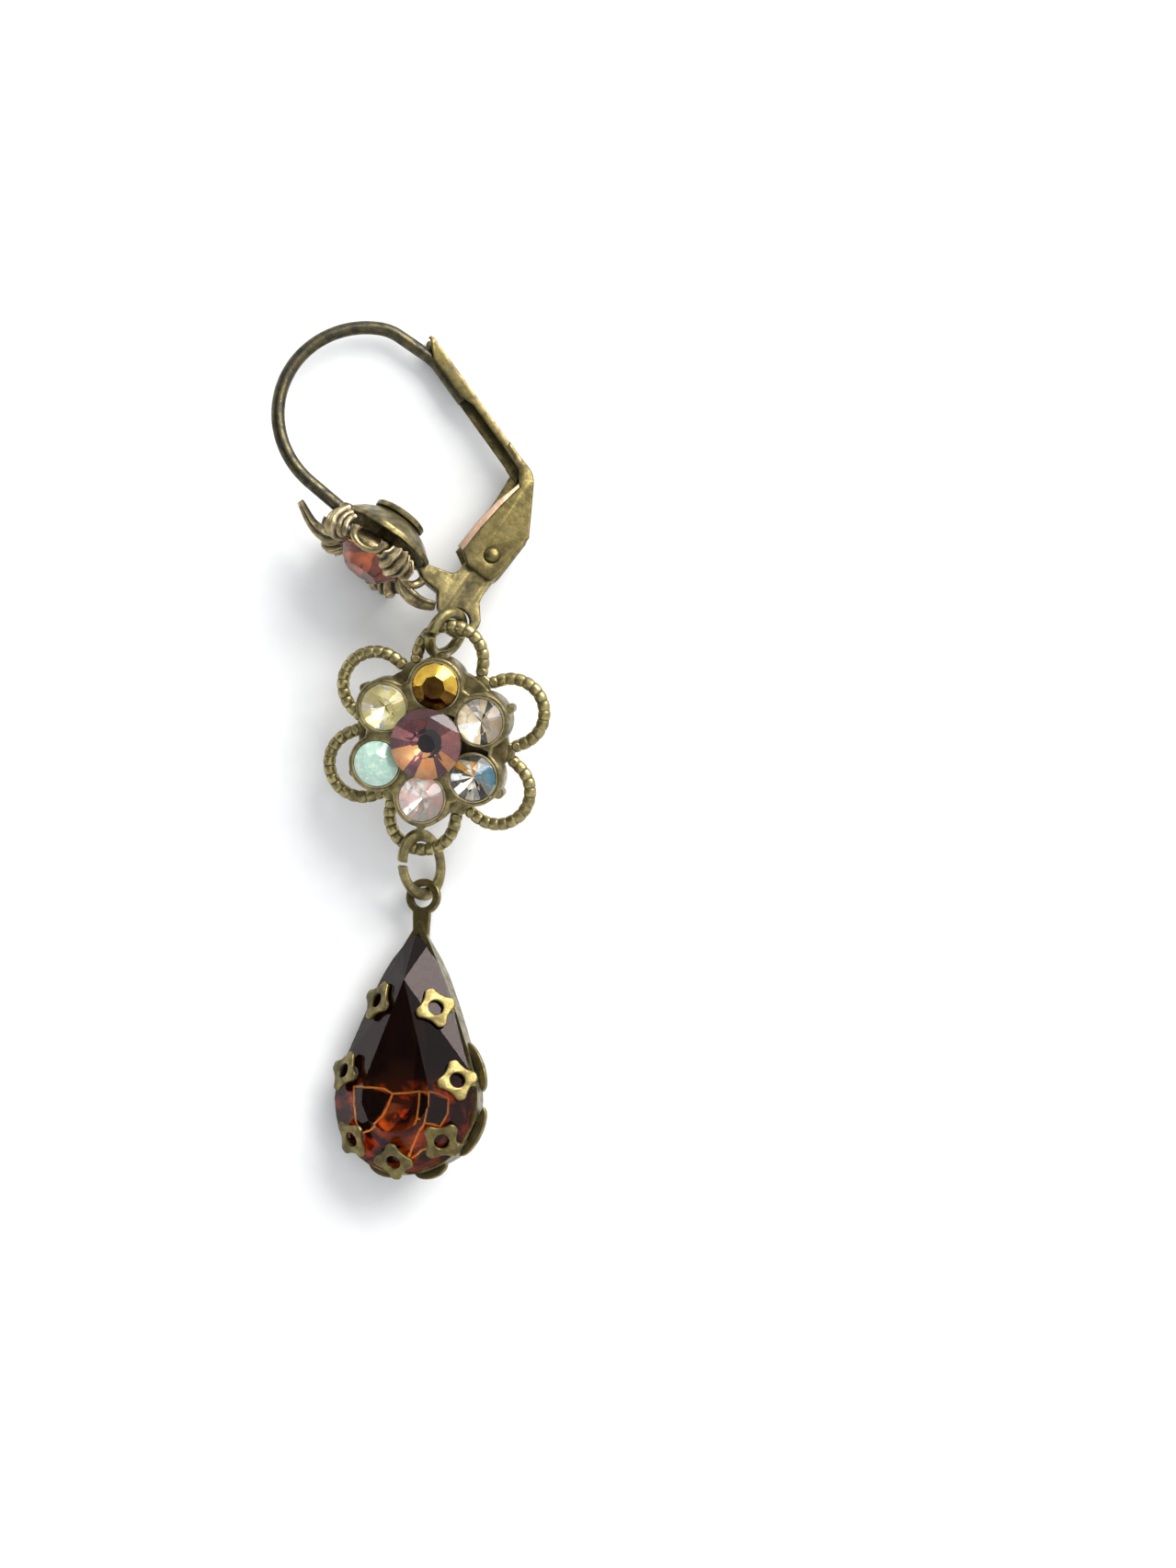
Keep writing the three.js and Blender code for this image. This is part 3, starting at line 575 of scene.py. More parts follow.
# The near plate's lip, where the plating is worn through.
strip = [(-0.66, 1.3), (0.98, 1.22), (2.62, 1.02), (3.9, 0.8), (4.1, 1.02), (2.7, 1.42), (1.0, 1.68),
         (-0.6, 1.76)]
finishes = [WORN_BRASS, COPPER_LIP]
copper_strip = clad(folded(strip, 0.16, 0.66, 0.06), finishes, 1)
lever = soldered("lever_arm", *(clad(side, finishes) for side in sides), copper_strip)
finished(lever, LEVERBACK, smooth=20)
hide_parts("lever")
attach(lever, "lever")


# ---------------------------------------------------------------- pivot rivet
# A plain brass pin through the channel and the tongue, punched over into a low domed head on
# each side. It is fixed in the ear wire's bracket, and the lever turns on it.

SHANK_R = 0.3
head = [(0.42, 0.91), (0.4, 1.0), (0.3, 1.07), (0.14, 1.11), (0.02, 1.12)]
tail_head = [(r, -h) for r, h in reversed(head)]
pin = turned(tail_head + [(SHANK_R, -0.91), (SHANK_R, 0.91)] + head, 28)
soldered("pivot_pin", pin)
finished(pin, LEVERBACK, WORN_BRASS, 50)
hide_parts("pivot_rivet")
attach(pin, "earring")


# ---------------------------------------------------------------- cup rivet
# The flat-headed brass rivet behind the cone, whose shank holds the cast flower in front.

FLOWER_X = -3.35
SHANK_END = FLOWER_X + 0.78
BACK = CUP_RIM_X + 1.36
rivet = turned([(0.05, SHANK_END), (0.5, SHANK_END), (0.5, BACK), (1.36, BACK), (1.44, BACK + 0.03),
                (1.46, BACK + 0.08), (1.46, BACK + 0.25), (1.42, BACK + 0.3), (1.3, BACK + 0.35),
                (1.24, BACK + 0.34), (0.05, BACK + 0.34)], 56)
set_at(rivet, moved(0, CUP_Y, 0) @ spun("Y", 90))
soldered("cup_rivet_head", rivet)
finished(rivet, LEVERBACK, OLD_BRASS)
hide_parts("cup_rivet")
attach(rivet, "earring")


# ---------------------------------------------------------------- cast flower
# A small cast flower of pleated petals, two of them straight and four curled over, and four
# small scrolls, round a cup for its stone. Paler than the wire, with black in all its folds.

PALE_BRASS = brass("pale_brass", (0.495, 0.387, 0.198), (0.216, 0.171, 0.086), (0.012, 0.011, 0.008),
                   (0.92, 0.74, 0.5), patches=0.75, hollows=1.0, wear=0.85, folds=1.0, relief=0.4)
RIB_COLUMNS = 6
PETAL_ROWS = 12
RIB_HEIGHT = 0.11
DROOP = 0.32
FIRST_SEED = 185


def set_crease(piece, values):
    """Marks how far each point of a piece lies in a groove that holds the black."""
    crease = piece.data.attributes.new("crease", "FLOAT", "POINT")
    crease.data.foreach_set("value", values)


def petal(spine, half_widths, ribs, thick, seed):
    """A crumpled, pleated petal: a flat grid is pleated, then each row is widened, tipped and moved."""
    uneven = random.Random(seed)
    columns = ribs * RIB_COLUMNS
    rows = PETAL_ROWS
    deep = [uneven.uniform(0.3, 1.7) for rib in range(ribs + 1)]
    heights = []
    grooves = []
    for column in range(columns + 1):
        v = 2 * column / columns - 1
        wave = math.cos(ribs * math.pi * v)
        rib = RIB_HEIGHT * deep[column // RIB_COLUMNS] * abs(wave + 1)
        heights.append(rib - DROOP * v * v + uneven.uniform(-0.03, 0.03))
        grooves.append(min(1.0, max(0.0, 0.55 - wave)))
    fresh()
    bpy.ops.mesh.primitive_grid_add(x_subdivisions=columns, y_subdivisions=rows, size=2)
    leaf = bpy.context.object
    set_crease(leaf, grooves * (rows + 1))
    bpy.ops.object.mode_set(mode="EDIT")
    for column in range(columns + 1):
        pick(lambda p: p.index % (columns + 1) == column)
        bpy.ops.transform.translate(value=(0, 0, heights[column]))
    p0, p1, p2, p3 = (Vector(point) for point in spine)
    for row in range(rows + 1):
        t = row / rows
        at = (1 - t) ** 3 * p0 + 3 * t * (1 - t) ** 2 * p1 + 3 * t * t * (1 - t) * p2 + t ** 3 * p3
        along = (1 - t) ** 2 * (p1 - p0) + 2 * t * (1 - t) * (p2 - p1) + t * t * (p3 - p2)
        place = t * (len(half_widths) - 1)
        low = min(int(place), len(half_widths) - 2)
        wide = half_widths[low] + (half_widths[low + 1] - half_widths[low]) * (place - low)
        middle = (0, 2 * t - 1, 0)
        lean = -math.atan2(along.y, along.x) + uneven.uniform(-0.25, 0.25)
        pick(lambda p: p.index // (columns + 1) == row)
        size = (wide * uneven.uniform(0.86, 1.1), 1, min(1.2, 0.5 + wide * 0.6))
        bpy.ops.transform.resize(value=size, center_override=middle)
        bpy.ops.transform.rotate(value=lean, orient_axis="X", center_override=middle)
        bpy.ops.transform.translate(value=(uneven.uniform(-0.13, 0.13) * t, at.x - middle[1], at.y))
    bpy.ops.object.mode_set(mode="OBJECT")
    modified(leaf, "SOLIDIFY", thickness=thick, offset=0)
    return modified(leaf, "SUBSURF", levels=1, render_levels=1)


def copy_of(piece):
    """A copy of a piece with its own mesh."""
    twin = piece.copy()
    twin.data = piece.data.copy()
    bpy.context.collection.objects.link(twin)
    return twin


# Each petal's bent middle line, outwards and up, its half widths, its ribs and its thickness.
LEAF = ([(1.95, 0.3), (2.6, 1.15), (3.6, 0.75), (4.85, -0.05)], [0.8, 0.85, 0.75, 0.5, 0.3, 0.1], 3, 0.15)
ROOT = ([(1.95, 0.3), (2.6, 1.1), (3.4, 0.95), (4.25, 0.5)], [0.85, 1.0, 0.95, 0.7, 0.35], 4, 0.16)
SHELL = ([(1.9, 0.0), (2.75, 1.5), (3.75, 0.5), (3.0, -0.7)], [0.4, 0.6, 0.8, 0.86, 0.8, 0.65], 5, 0.1)
CURL = ([(1.9, 0.2), (2.4, 1.3), (3.61, 0.9), (3.12, -0.3)], [0.7, 0.95, 1.05, 1.0, 0.95, 0.7], 4, 0.12)
petals = []
for angle, shape in ((0, LEAF), (-40, SHELL), (-118, CURL), (180, ROOT), (118, CURL), (40, SHELL)):
    turn = spun("Z", angle)
    petals.append(set_at(petal(*shape, seed=FIRST_SEED + angle), turn))
fresh()
bpy.ops.mesh.primitive_torus_add(major_radius=0.62, minor_radius=0.17, major_segments=36, minor_segments=10)
scroll = bpy.context.object
bpy.ops.object.mode_set(mode="EDIT")
pick(lambda p: p.co.y > 0.25)
bpy.ops.mesh.delete(type="VERT")
take_all()
bpy.ops.transform.resize(value=(1.5, 1, 1.5), center_override=(0, 0, 0))
close_up()
TIPPED = spun("X", -70)
for side, out in ((-78, 2.7), (78, 2.7), (-18, 2.9), (-150, 2.8)):
    curl = spun("Z", side) @ moved(0, out, 0.05)
    petals.append(set_at(copy_of(scroll), curl @ TIPPED))
bpy.data.objects.remove(scroll)
seat = turned([(0.1, -0.72), (1.1, -0.72), (1.75, -0.4), (2.0, 0.1), (2.0, 0.46), (1.96, 0.5), (1.88, 0.5),
               (1.86, 0.46), (1.86, 0.0), (0.9, -0.5), (0.1, -0.5)], 40)
flower = soldered("front_rosette", seat, *petals)
FLOWER = LEVERBACK @ moved(FLOWER_X, CUP_Y, 0) @ spun("Y", -90)
finished(flower, FLOWER, PALE_BRASS, 60)
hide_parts("front_flower")
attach(flower, "earring")


# ---------------------------------------------------------------- front stone
# An orange-brown pressed glass stone with eight sides, cemented in the flower's cup. Its back is
# lacquered dark amber, and two of its back facets are painted brighter as a painted glint.

def clouded(name, light, dark, scale, detail, low, high):
    """A material whose colour drifts in clouds from one to the other, with what is needed to go on."""
    material, tree, shader = new_material(name)
    point = object_point(tree)
    cloud = spread(tree, noise(tree, point, scale, detail), low, high)
    fill(tree, shader, {"Base Color": tinted(tree, cloud, (*light, 1), (*dark, 1))})
    return material, tree, shader, point, cloud


def glass(name, tint, deep, ior):
    """Clear tinted glass, very slightly clouded, with fine rubbing on its facets."""
    material, tree, shader, point, cloud = clouded(name, tint, deep, 1300, 4, 0.35, 0.7)
    rubbing = spread(tree, noise(tree, point, 5200, 4, 0.7), 0.5, 0.9, 0.0, 0.06)
    fill(tree, shader, {"Roughness": rubbing, "IOR": ior, "Transmission Weight": 1.0})
    return material


def foil(name, bright, deep, metal=0.5, rough=0.12):
    """The foil or lacquer behind a stone, a little cloudy and uneven in colour."""
    material, tree, shader, point, cloud = clouded(name, bright, deep, 1800, 3, 0.38, 0.66)
    rough = spread(tree, cloud, 0.0, 1.0, rough, rough + 0.1)
    fill(tree, shader, {"Metallic": metal, "Roughness": rough})
    return material


def skin_over(flatness):
    """Draws one tight skin over all the points in edit mode, its flat parts in one facet, and leaves it."""
    take_all()
    bpy.ops.mesh.convex_hull(join_triangles=False)
    take_all()
    bpy.ops.mesh.dissolve_limited(angle_limit=math.radians(flatness))
    return outwards()


def chaton(name, sides, r, girdle, table, table_r, culet, shoulder=0.93, back_sides=18, step=0.55):
    """A round stone: a flat table, one facet a side, a round girdle, and a pointed back in two tiers."""
    fresh()
    bpy.ops.mesh.primitive_circle_add(vertices=sides, radius=table_r, location=(0, 0, table))
    bpy.ops.object.mode_set(mode="EDIT")
    fall = (table - girdle) * (1 - shoulder) / (1 - table_r / r)
    half = math.pi / back_sides
    for count, radius, z, turn in (
        (sides, r * shoulder, girdle + 0.04 + fall * 1.25, 0),
        (sides * 4, r, girdle + 0.04, 0),
        (sides * 4, r, girdle - 0.04, 0),
        (back_sides, r * 0.97, girdle - 0.08, half),
        (back_sides, r * step, girdle - (girdle - culet) * (1 - step) * 1.12, half),
        (4, 0.04, culet, 0),
    ):
        bpy.ops.mesh.primitive_circle_add(vertices=count, radius=radius, location=(0, 0, z),
                                          rotation=(0, 0, turn))
    return soldered(name, set_at(skin_over(1.5)))


def backed(stone, girdle, crown, backs, choose):
    """Gives a stone glass on its crown; choose picks each back facet's foil by its angle and radius."""
    clad(stone, [crown, *backs])
    for face in stone.data.polygons:
        x, y, z = face.center
        if z < girdle:
            angle = math.degrees(math.atan2(y, x)) % 360
            face.material_index = 1 + choose(angle, math.hypot(x, y))
    return stone


def every(outer, inner="", inner_r=0.62):
    """Picks a foil by the facet's number round the stone, from a string of digits for each tier."""
    def choose(angle, r):
        tier = inner if inner and r < inner_r else outer
        return int(tier[int(angle / 360 * len(tier)) % len(tier)])
    return choose


stone = chaton("flower_stone", sides=8, r=1.78, girdle=0.5, table=1.33, table_r=1.02, culet=-0.45,
               shoulder=0.985, back_sides=8)
# Two of the eight back facets take the brighter amber: a painted glint.
backed(stone, 0.47, glass("amber_crown", (0.9, 0.55, 0.38), (0.82, 0.42, 0.26), 1.5),
       [foil("amber_foil", (0.26, 0.055, 0.01), (0.12, 0.02, 0.004), 0.4, 0.3),
        foil("amber_flash", (0.8, 0.3, 0.07), (0.5, 0.14, 0.03), 0.4, 0.2)], every("00010001"))
finished(stone, FLOWER, smooth=1)
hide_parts("front_stone")
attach(stone, "earring")


# ---------------------------------------------------------------- filigree link
# A pierced link, cast in one piece: six loops of beaded rope on a flat web, with three small
# balls where each two loops meet. The beads are flattened and the grooves between them are black.

LINK = lay(1.336, 0.486, 3.4, rises=36, by=11.6, turn=-10.9)
LINK_BRASS = brass("link_brass", (0.46, 0.38, 0.165), (0.2, 0.165, 0.07), (0.02, 0.018, 0.01),
                   (0.66, 0.56, 0.32), patches=0.45, hollows=1.0, wear=0.45, folds=0.8)
PETAL_AT = 4.275
PETAL_R = 1.775
ROPE_R = 0.335
BALL_R = 0.34
FLATTENED = 0.88
BEADS = 23
BEAD_RINGS = 6
RING_POINTS = 12

fresh()
bpy.ops.mesh.primitive_torus_add(major_radius=PETAL_R, minor_radius=ROPE_R,
                                 major_segments=BEADS * BEAD_RINGS, minor_segments=RING_POINTS)
rope = bpy.context.object
groove = [0.95] * RING_POINTS + [0.0] * RING_POINTS * (BEAD_RINGS - 1)
set_crease(rope, groove * BEADS)
bpy.ops.object.mode_set(mode="EDIT")


def bead_place(point):
    """Where along its bead a point of the rope lies, from 0 in one groove to 1 in the next."""
    return (math.degrees(math.atan2(point.co.y, point.co.x)) * BEADS / 360) % 1


pick(lambda p: abs((bead_place(p) + 0.5) % 1 - 0.5) < 0.05)
bpy.ops.transform.shrink_fatten(value=-0.045)
pick(lambda p: abs(bead_place(p) - 0.5) < 0.05)
bpy.ops.transform.shrink_fatten(value=0.012)
take_all()
bpy.ops.transform.resize(value=(1, 1, FLATTENED))
pick(lambda p: p.co.x < -0.2)
bpy.ops.mesh.delete(type="VERT")
take_all()
bpy.ops.mesh.fill_holes(sides=0)
close_up()
set_at(rope)

fresh()
bpy.ops.mesh.primitive_uv_sphere_add(segments=20, ring_count=12, radius=BALL_R)
ball = bpy.context.object
bpy.ops.object.mode_set(mode="EDIT")
pick(lambda p: p.co.z > 0.3)
bpy.ops.transform.resize(value=(1, 1, FLATTENED), center_override=(0, 0, 0))
close_up()

parts = []
outline = []
for middle in range(90, 450, 60):
    turn = spun("Z", middle)
    between = turn @ spun("Z", 30)
    parts.append(set_at(copy_of(rope), turn @ moved(PETAL_AT, 0, 0)))
    for r, side, size in ((4.32, 0.43, 1.0), (4.32, -0.43, 1.0), (3.62, 0, 0.88)):
        spot = between @ moved(r, side, -0.02) @ Matrix.Scale(size, 4)
        parts.append(set_at(copy_of(ball), spot))
    outline += arc(0, 0, 3.3, middle - 18, middle + 18, 6)
    outline += arc(0, 0, 4.3, middle + 24, middle + 36, 3)
for pattern in (rope, ball):
    bpy.data.objects.remove(pattern)
web = cut_sheet(outline, 0.42, 0.08)
link = soldered("six_petal_link", web, *parts)
finished(link, LINK, LINK_BRASS, 40)
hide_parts("filigree_link")
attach(link, "earring")


# ---------------------------------------------------------------- cluster cup
# A cast cup on the link: six round lobes with a raised middle, each drilled as a seat for its
# stone and left with a thin lip round it.

CUP_FOOT = 0.35
CUP_TOP = 2.3
LOBE_R = 1.52
SEAT_R = 1.21
MIDDLE_SEAT_R = 1.62
STONE_AT = 3.0
TURNS = [92.9 + 60 * number for number in range(6)]
spots = [(STONE_AT * math.cos(math.radians(turn)), STONE_AT * math.sin(math.radians(turn))) for turn in TURNS]
outline = []
for middle, (x, y) in zip(TURNS, spots):
    outline += arc(x, y, LOBE_R, middle - 78, middle + 78, 24)
    outline += arc(0, 0, 3.4, middle + 27, middle + 33, 2)
seats = [arc(x, y, SEAT_R, 0, 354, 59) for x, y in spots]
body = cut_sheet(outline, CUP_TOP - CUP_FOOT, 0.14, seats + [arc(0, 0, MIDDLE_SEAT_R, 0, 354, 59)])
set_at(body, moved(0, 0, (CUP_TOP + CUP_FOOT) / 2))
floor = cut_sheet(arc(0, 0, 4.0, 0, 357.5, 143), 0.5, 0.02)
set_at(floor, moved(0, 0, CUP_FOOT + 0.35))
lip = turned([(1.22, 2.0), (1.32, 2.0), (1.34, 2.24), (1.31, 2.31), (1.26, 2.33), (1.22, 2.3), (1.22, 2.0)])
collar = turned([(1.6, 2.0), (1.8, 2.0), (1.77, 2.6), (1.72, 2.69), (1.66, 2.7), (1.6, 2.64), (1.6, 2.0)], 60)
knob = turned([(0.05, -0.6), (0.26, -0.56), (0.28, 0.5), (0.22, 0.68), (0.05, 0.74)], 16)
parts = [body, floor, collar]
for middle, (x, y) in zip(TURNS, spots):
    parts.append(set_at(copy_of(lip), moved(x, y, 0)))
    outward = spun("Z", middle) @ moved(4.5, 0, 0.95)
    parts.append(set_at(copy_of(knob), outward))
for pattern in (lip, knob):
    bpy.data.objects.remove(pattern)
cup = soldered("cluster_cups", *parts)
finished(cup, LINK, OLD_BRASS)
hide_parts("cluster_cup")
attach(cup, "earring")


# ---------------------------------------------------------------- cluster stones
# Six small foiled stones round a larger one, pressed into their seats: gold-brown, pale yellow, mint
# opal, pale pink, one with a rainbow coat, champagne, and plum in the middle. Their back facets take
# foils one by one: silver facets are painted sparkle, dark facets painted shade, the rainbow coat's
# blue and orange are painted flashes, and the gold-brown stone's lower facets are painted shade.

def opal(name):
    """Milky mint glass with creamy specks."""
    material, tree, shader = new_material(name)
    point = object_point(tree)
    milk = spread(tree, noise(tree, point, 1500, 5, 0.6, 0.8), 0.4, 0.66)
    specks = spread(tree, noise(tree, point, 3400, 3, 0.6), 0.56, 0.66)
    colour = tinted(tree, milk, (0.36, 0.6, 0.5, 1), (0.56, 0.72, 0.6, 1))
    fill(tree, shader, {
        "Base Color": tinted(tree, specks, colour, (0.72, 0.76, 0.58, 1)),
        "Roughness": spread(tree, milk, 0.0, 1.0, 0.08, 0.2),
        "Subsurface Weight": 0.4, "Subsurface Radius": (0.0004, 0.0005, 0.0004), "Coat Weight": 0.8,
        "Normal": bumped(tree, milk, 0.1, 0.00003)})
    return material


def lacquered(name, light, dark):
    """Glass with a metallic gold-brown coat over its face."""
    material, tree, shader, point, cloud = clouded(name, light, dark, 1500, 3, 0.35, 0.7)
    rough = spread(tree, noise(tree, point, 4200, 4), 0.4, 0.8, 0.08, 0.18)
    fill(tree, shader, {"Metallic": 1.0, "Roughness": rough})
    return material


# Dark facets, which are painted shade, and silver facets, which are painted sparkle, set one by one among
# each clear stone's coloured foils.
SHADE = foil("stone_shade", (0.12, 0.11, 0.09), (0.05, 0.05, 0.04), 1.0, 0.1)
SILVER_SPARKLE = foil("silver_foil_sparkle", (1.0, 0.99, 0.96), (0.94, 0.92, 0.86), 0.7, 0.06)
STRAW = foil("straw_foil", (1.0, 0.94, 0.56), (0.98, 0.84, 0.34), 0.6)
ROSE = foil("rose_foil", (1.0, 0.8, 0.75), (0.96, 0.64, 0.57), 0.6)
PALE_GOLD = foil("champagne_foil", (0.98, 0.84, 0.62), (0.8, 0.62, 0.4), 0.6)
# The rainbow coat's blue and orange, painted onto chosen back facets as flashes.
SKY = foil("blue_flash", (0.2, 0.62, 0.95), (0.45, 0.75, 0.9), 0.5, 0.2)
AMBER = foil("orange_flash", (0.95, 0.5, 0.1), (0.75, 0.3, 0.05), 0.5, 0.2)
CLEAR = glass("clear_crown", (1.0, 1.0, 0.97), (1.0, 0.99, 0.95), 1.5)
GOLD = lacquered("gold_lacquer", (0.78, 0.5, 0.08), (0.5, 0.28, 0.035))
BROWN_SHADE = lacquered("brown_shade_lacquer", (0.16, 0.08, 0.015), (0.07, 0.03, 0.008))
MINT = opal("mint_opal")
STRAW_OUT, STRAW_IN = "000010000100010000", "012000201020001210"
ROSE_OUT, ROSE_IN = "010011010001011010", "201002100120021001"
SKY_OUT, SKY_IN = "000311312323233230", "332321331231332323"
GOLD_OUT, GOLD_IN = "010201100010102010", "021201202102120212"
# Each stone's node, slot, sides, table radius, front, foils, and its back facets' foils by tier.
kinds = (
    ("stone_top", "topaz_glass", 8, 0.62, GOLD, [BROWN_SHADE], "0", ""),
    ("stone_upper_left", "clear_glass", 12, 0.6, CLEAR, [STRAW, SILVER_SPARKLE, SHADE], STRAW_OUT, STRAW_IN),
    ("stone_lower_left", "opal_glass", 8, 0.6, MINT, [MINT], "0", ""),
    ("stone_bottom", "rose_glass", 12, 0.6, CLEAR, [ROSE, SILVER_SPARKLE, SHADE], ROSE_OUT, ROSE_IN),
    ("stone_lower_right", "clear_glass", 8, 0.56, CLEAR, [SKY, AMBER, SHADE, SILVER_SPARKLE], SKY_OUT, SKY_IN),
    ("stone_upper_right", "clear_glass", 12, 0.6, CLEAR, [PALE_GOLD, SILVER_SPARKLE, SHADE], GOLD_OUT, GOLD_IN),
)
for (node, slot, sides, table_r, crown, backs, outer, inner), (x, y) in zip(kinds, spots):
    name = node.replace("stone", "cluster_stone")
    stone = chaton(name, sides, r=1.2, girdle=CUP_TOP, table=2.82, table_r=table_r, culet=1.5)
    backed(stone, 2.26, crown, backs, every(outer, inner))
    # The gold-brown stone: its table and lower facets take the brown, painted shade where they face away from
    # the light; its upper facets keep the gold coat.
    if crown is GOLD:
        for face in stone.data.polygons:
            face.material_index = 1 if face.normal.z > 0.99 or face.center.y < -0.1 else 0
    finished(stone, LINK @ moved(x, y, 0), smooth=1)
    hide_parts(node)
    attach(stone, "earring")

PLUM_DARK = foil("plum_shade", (0.2, 0.05, 0.065), (0.09, 0.02, 0.035), 0.4, 0.25)
MAUVE = foil("mauve_light", (0.62, 0.3, 0.32), (0.4, 0.17, 0.2), 0.4, 0.25)
EMBER = foil("ember", (1.0, 0.66, 0.24), (1.0, 0.45, 0.1), 0.25, 0.2)
# A black that reflects nothing, used as painted shade: the plum stone's dark middle and the pear's two dark
# facets.
BLACK_SHADE = foil("black_shade", (0.012, 0.008, 0.008), (0.006, 0.004, 0.004), 0.0, 0.8)
BLACK_SHADE.node_tree.nodes["Principled BSDF"].inputs["Specular IOR Level"].default_value = 0.0
# The plum stone's back: plum all round, mauve facets at the two sides as painted light, amber facets towards
# the lower side as a painted glow, and the black middle as painted shade.
stone = chaton("cluster_stone_centre", sides=9, r=1.88, girdle=2.98, table=3.72, table_r=0.66, culet=1.75,
               shoulder=0.8, step=0.27)
backed(stone, 2.94, glass("plum_crown", (0.93, 0.79, 0.8), (0.84, 0.68, 0.7), 1.56),
       [PLUM_DARK, MAUVE, EMBER, BLACK_SHADE], every("110000001022022021", "3", 0.75))
finished(stone, LINK, smooth=1)
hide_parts("stone_centre")
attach(stone, "earring")


# ---------------------------------------------------------------- jump rings
# Two open rings of brass wire, closed with pliers: a round one through the bracket's eye and the
# link's top petal, and a longer flattened one through its bottom petal and the drop's loop.

RING_BRASS = brass("ring_brass", (0.306, 0.252, 0.108), (0.171, 0.14, 0.059), (0.024, 0.022, 0.013),
                   (0.75, 0.66, 0.44), patches=0.55)
UPPER_PLACE = lay(1.857, 6.018, 3.81, rises=150, by=54.66, turn=150)
LOWER_PLACE = lay(0.506, -6.248, 1.89, rises=160.71, by=47.38, turn=31.75)
for node, place, long, wide, thick, flat, gap_at, gap in (
    ("upper_jump_ring", UPPER_PLACE, 1.18, 1.18, 0.3, 0.3, 20, 10),
    ("lower_jump_ring", LOWER_PLACE, 1.832, 1.264, 0.27, 0.22, 150, 8),
):
    fresh()
    bpy.ops.mesh.primitive_circle_add(vertices=18, radius=1, location=(1, 0, 0), rotation=(math.pi / 2, 0, 0))
    bpy.ops.object.mode_set(mode="EDIT")
    bpy.ops.transform.resize(value=(thick / wide, 1, flat), center_override=(1, 0, 0))
    start = math.radians(gap_at - gap / 2)
    bpy.ops.transform.rotate(value=-start, orient_axis="Z", center_override=(0, 0, 0))
    bpy.ops.mesh.spin(steps=72, angle=math.radians(360 - gap), center=(0, 0, 0), axis=(0, 0, 1))
    take_all()
    bpy.ops.transform.resize(value=(wide, long, 1), center_override=(0, 0, 0))
    ring = close_up()
    set_at(ring)
    soften(ring, 0.04, 60)
    soldered(node.replace("_jump", ""), ring)
    finished(ring, place, RING_BRASS, 40)
    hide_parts(node)
    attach(ring, "earring")


# ---------------------------------------------------------------- pear setting
# The setting of the drop is pressed from thin brass: a keeled back, a gallery wall that bows out
# in scallops, seven claws that end in pierced four-cornered plates, and a flat loop at the point.

DROP_Z, DROP_RISES, DROP_BY, DROP_TURN = 2.96, -18.2, 21, -3.2
DROP = lay(-0.41, -18.6, DROP_Z, DROP_RISES, DROP_BY, DROP_TURN)
# Half the angle at the pear's point, and how far its straight sides bulge.
HALF = math.asin(3.9 / 9.1)
FULLNESS = 0.2
STONE_R = 3.7
TABLE_Z = 1.25
TABLE_R = 1.95
SETTING_R = 4.08
WALL_R = 3.88
CLAW_R = 3.42


def pear(radius, arc_steps, side_steps):
    """A pear outline round a circle of a given radius, point first, then down the right side."""
    tip = radius / math.sin(HALF)
    x, y = radius * math.cos(HALF), radius * math.sin(HALF)
    right = []
    for step in range(1, side_steps):
        t = step / side_steps
        full = 4 * FULLNESS * t * (1 - t)
        right.append((x * t + full * math.cos(HALF), tip + (y - tip) * t + full * math.sin(HALF)))
    half = math.degrees(HALF)
    left = [(-x, y) for x, y in reversed(right)]
    return [(0, tip)] + right + arc(0, 0, radius, half, -180 - half, arc_steps) + left


def keel_depth(x, y):
    """How deep the keeled back lies under a point: two long faces, a bow and a stern."""
    toward = math.radians(DROP_RISES - DROP_TURN)
    lean = math.radians(DROP_BY)
    fall = math.sin(lean) * (math.cos(toward) * abs(x) - math.sin(toward) * y)
    return min((DROP_Z - fall) / math.cos(lean), 1.15 + 0.42 * (9.3 - y), 1.6 + 0.75 * (y + 3.9))


def hull_of(points):
    """The tight skin round some points."""
    mesh = bpy.data.meshes.new("hull")
    mesh.from_pydata(points, [], [])
    brought_in("hull", mesh)
    bpy.ops.object.mode_set(mode="EDIT")
    return skin_over(1)


def keeled(outer, foot, top, lift):
    """A pear-shaped body with a keeled back, from its radius at the top and where the keel starts."""
    points = [(x, y, top) for x, y in pear(outer, 40, 10)]
    points += [(x, y, lift - keel_depth(x, y)) for x, y in pear(foot, 40, 10)]
    points += [(0, y / 10, lift - keel_depth(0, y / 10)) for y in range(-24, 75, 4)]
    return hull_of(points)


def on_pear(radius, along):
    """The outline's place and outward direction, a distance along from the middle of its round end."""
    side = -1 if along < 0 else 1
    turn = radius * (math.pi / 2 + HALF)
    run = abs(along)
    a = -math.pi / 2 + run / radius if run < turn else HALF
    past = max(0.0, run - turn)
    u = past * math.tan(HALF) / radius
    r = radius + 4 * FULLNESS * u * (1 - u)
    x = r * math.cos(a) - past * math.sin(HALF)
    y = r * math.sin(a) + past * math.cos(HALF)
    return moved(side * x, y, 0) @ Matrix.Rotation(a if side > 0 else math.pi - a, 4, "Z")


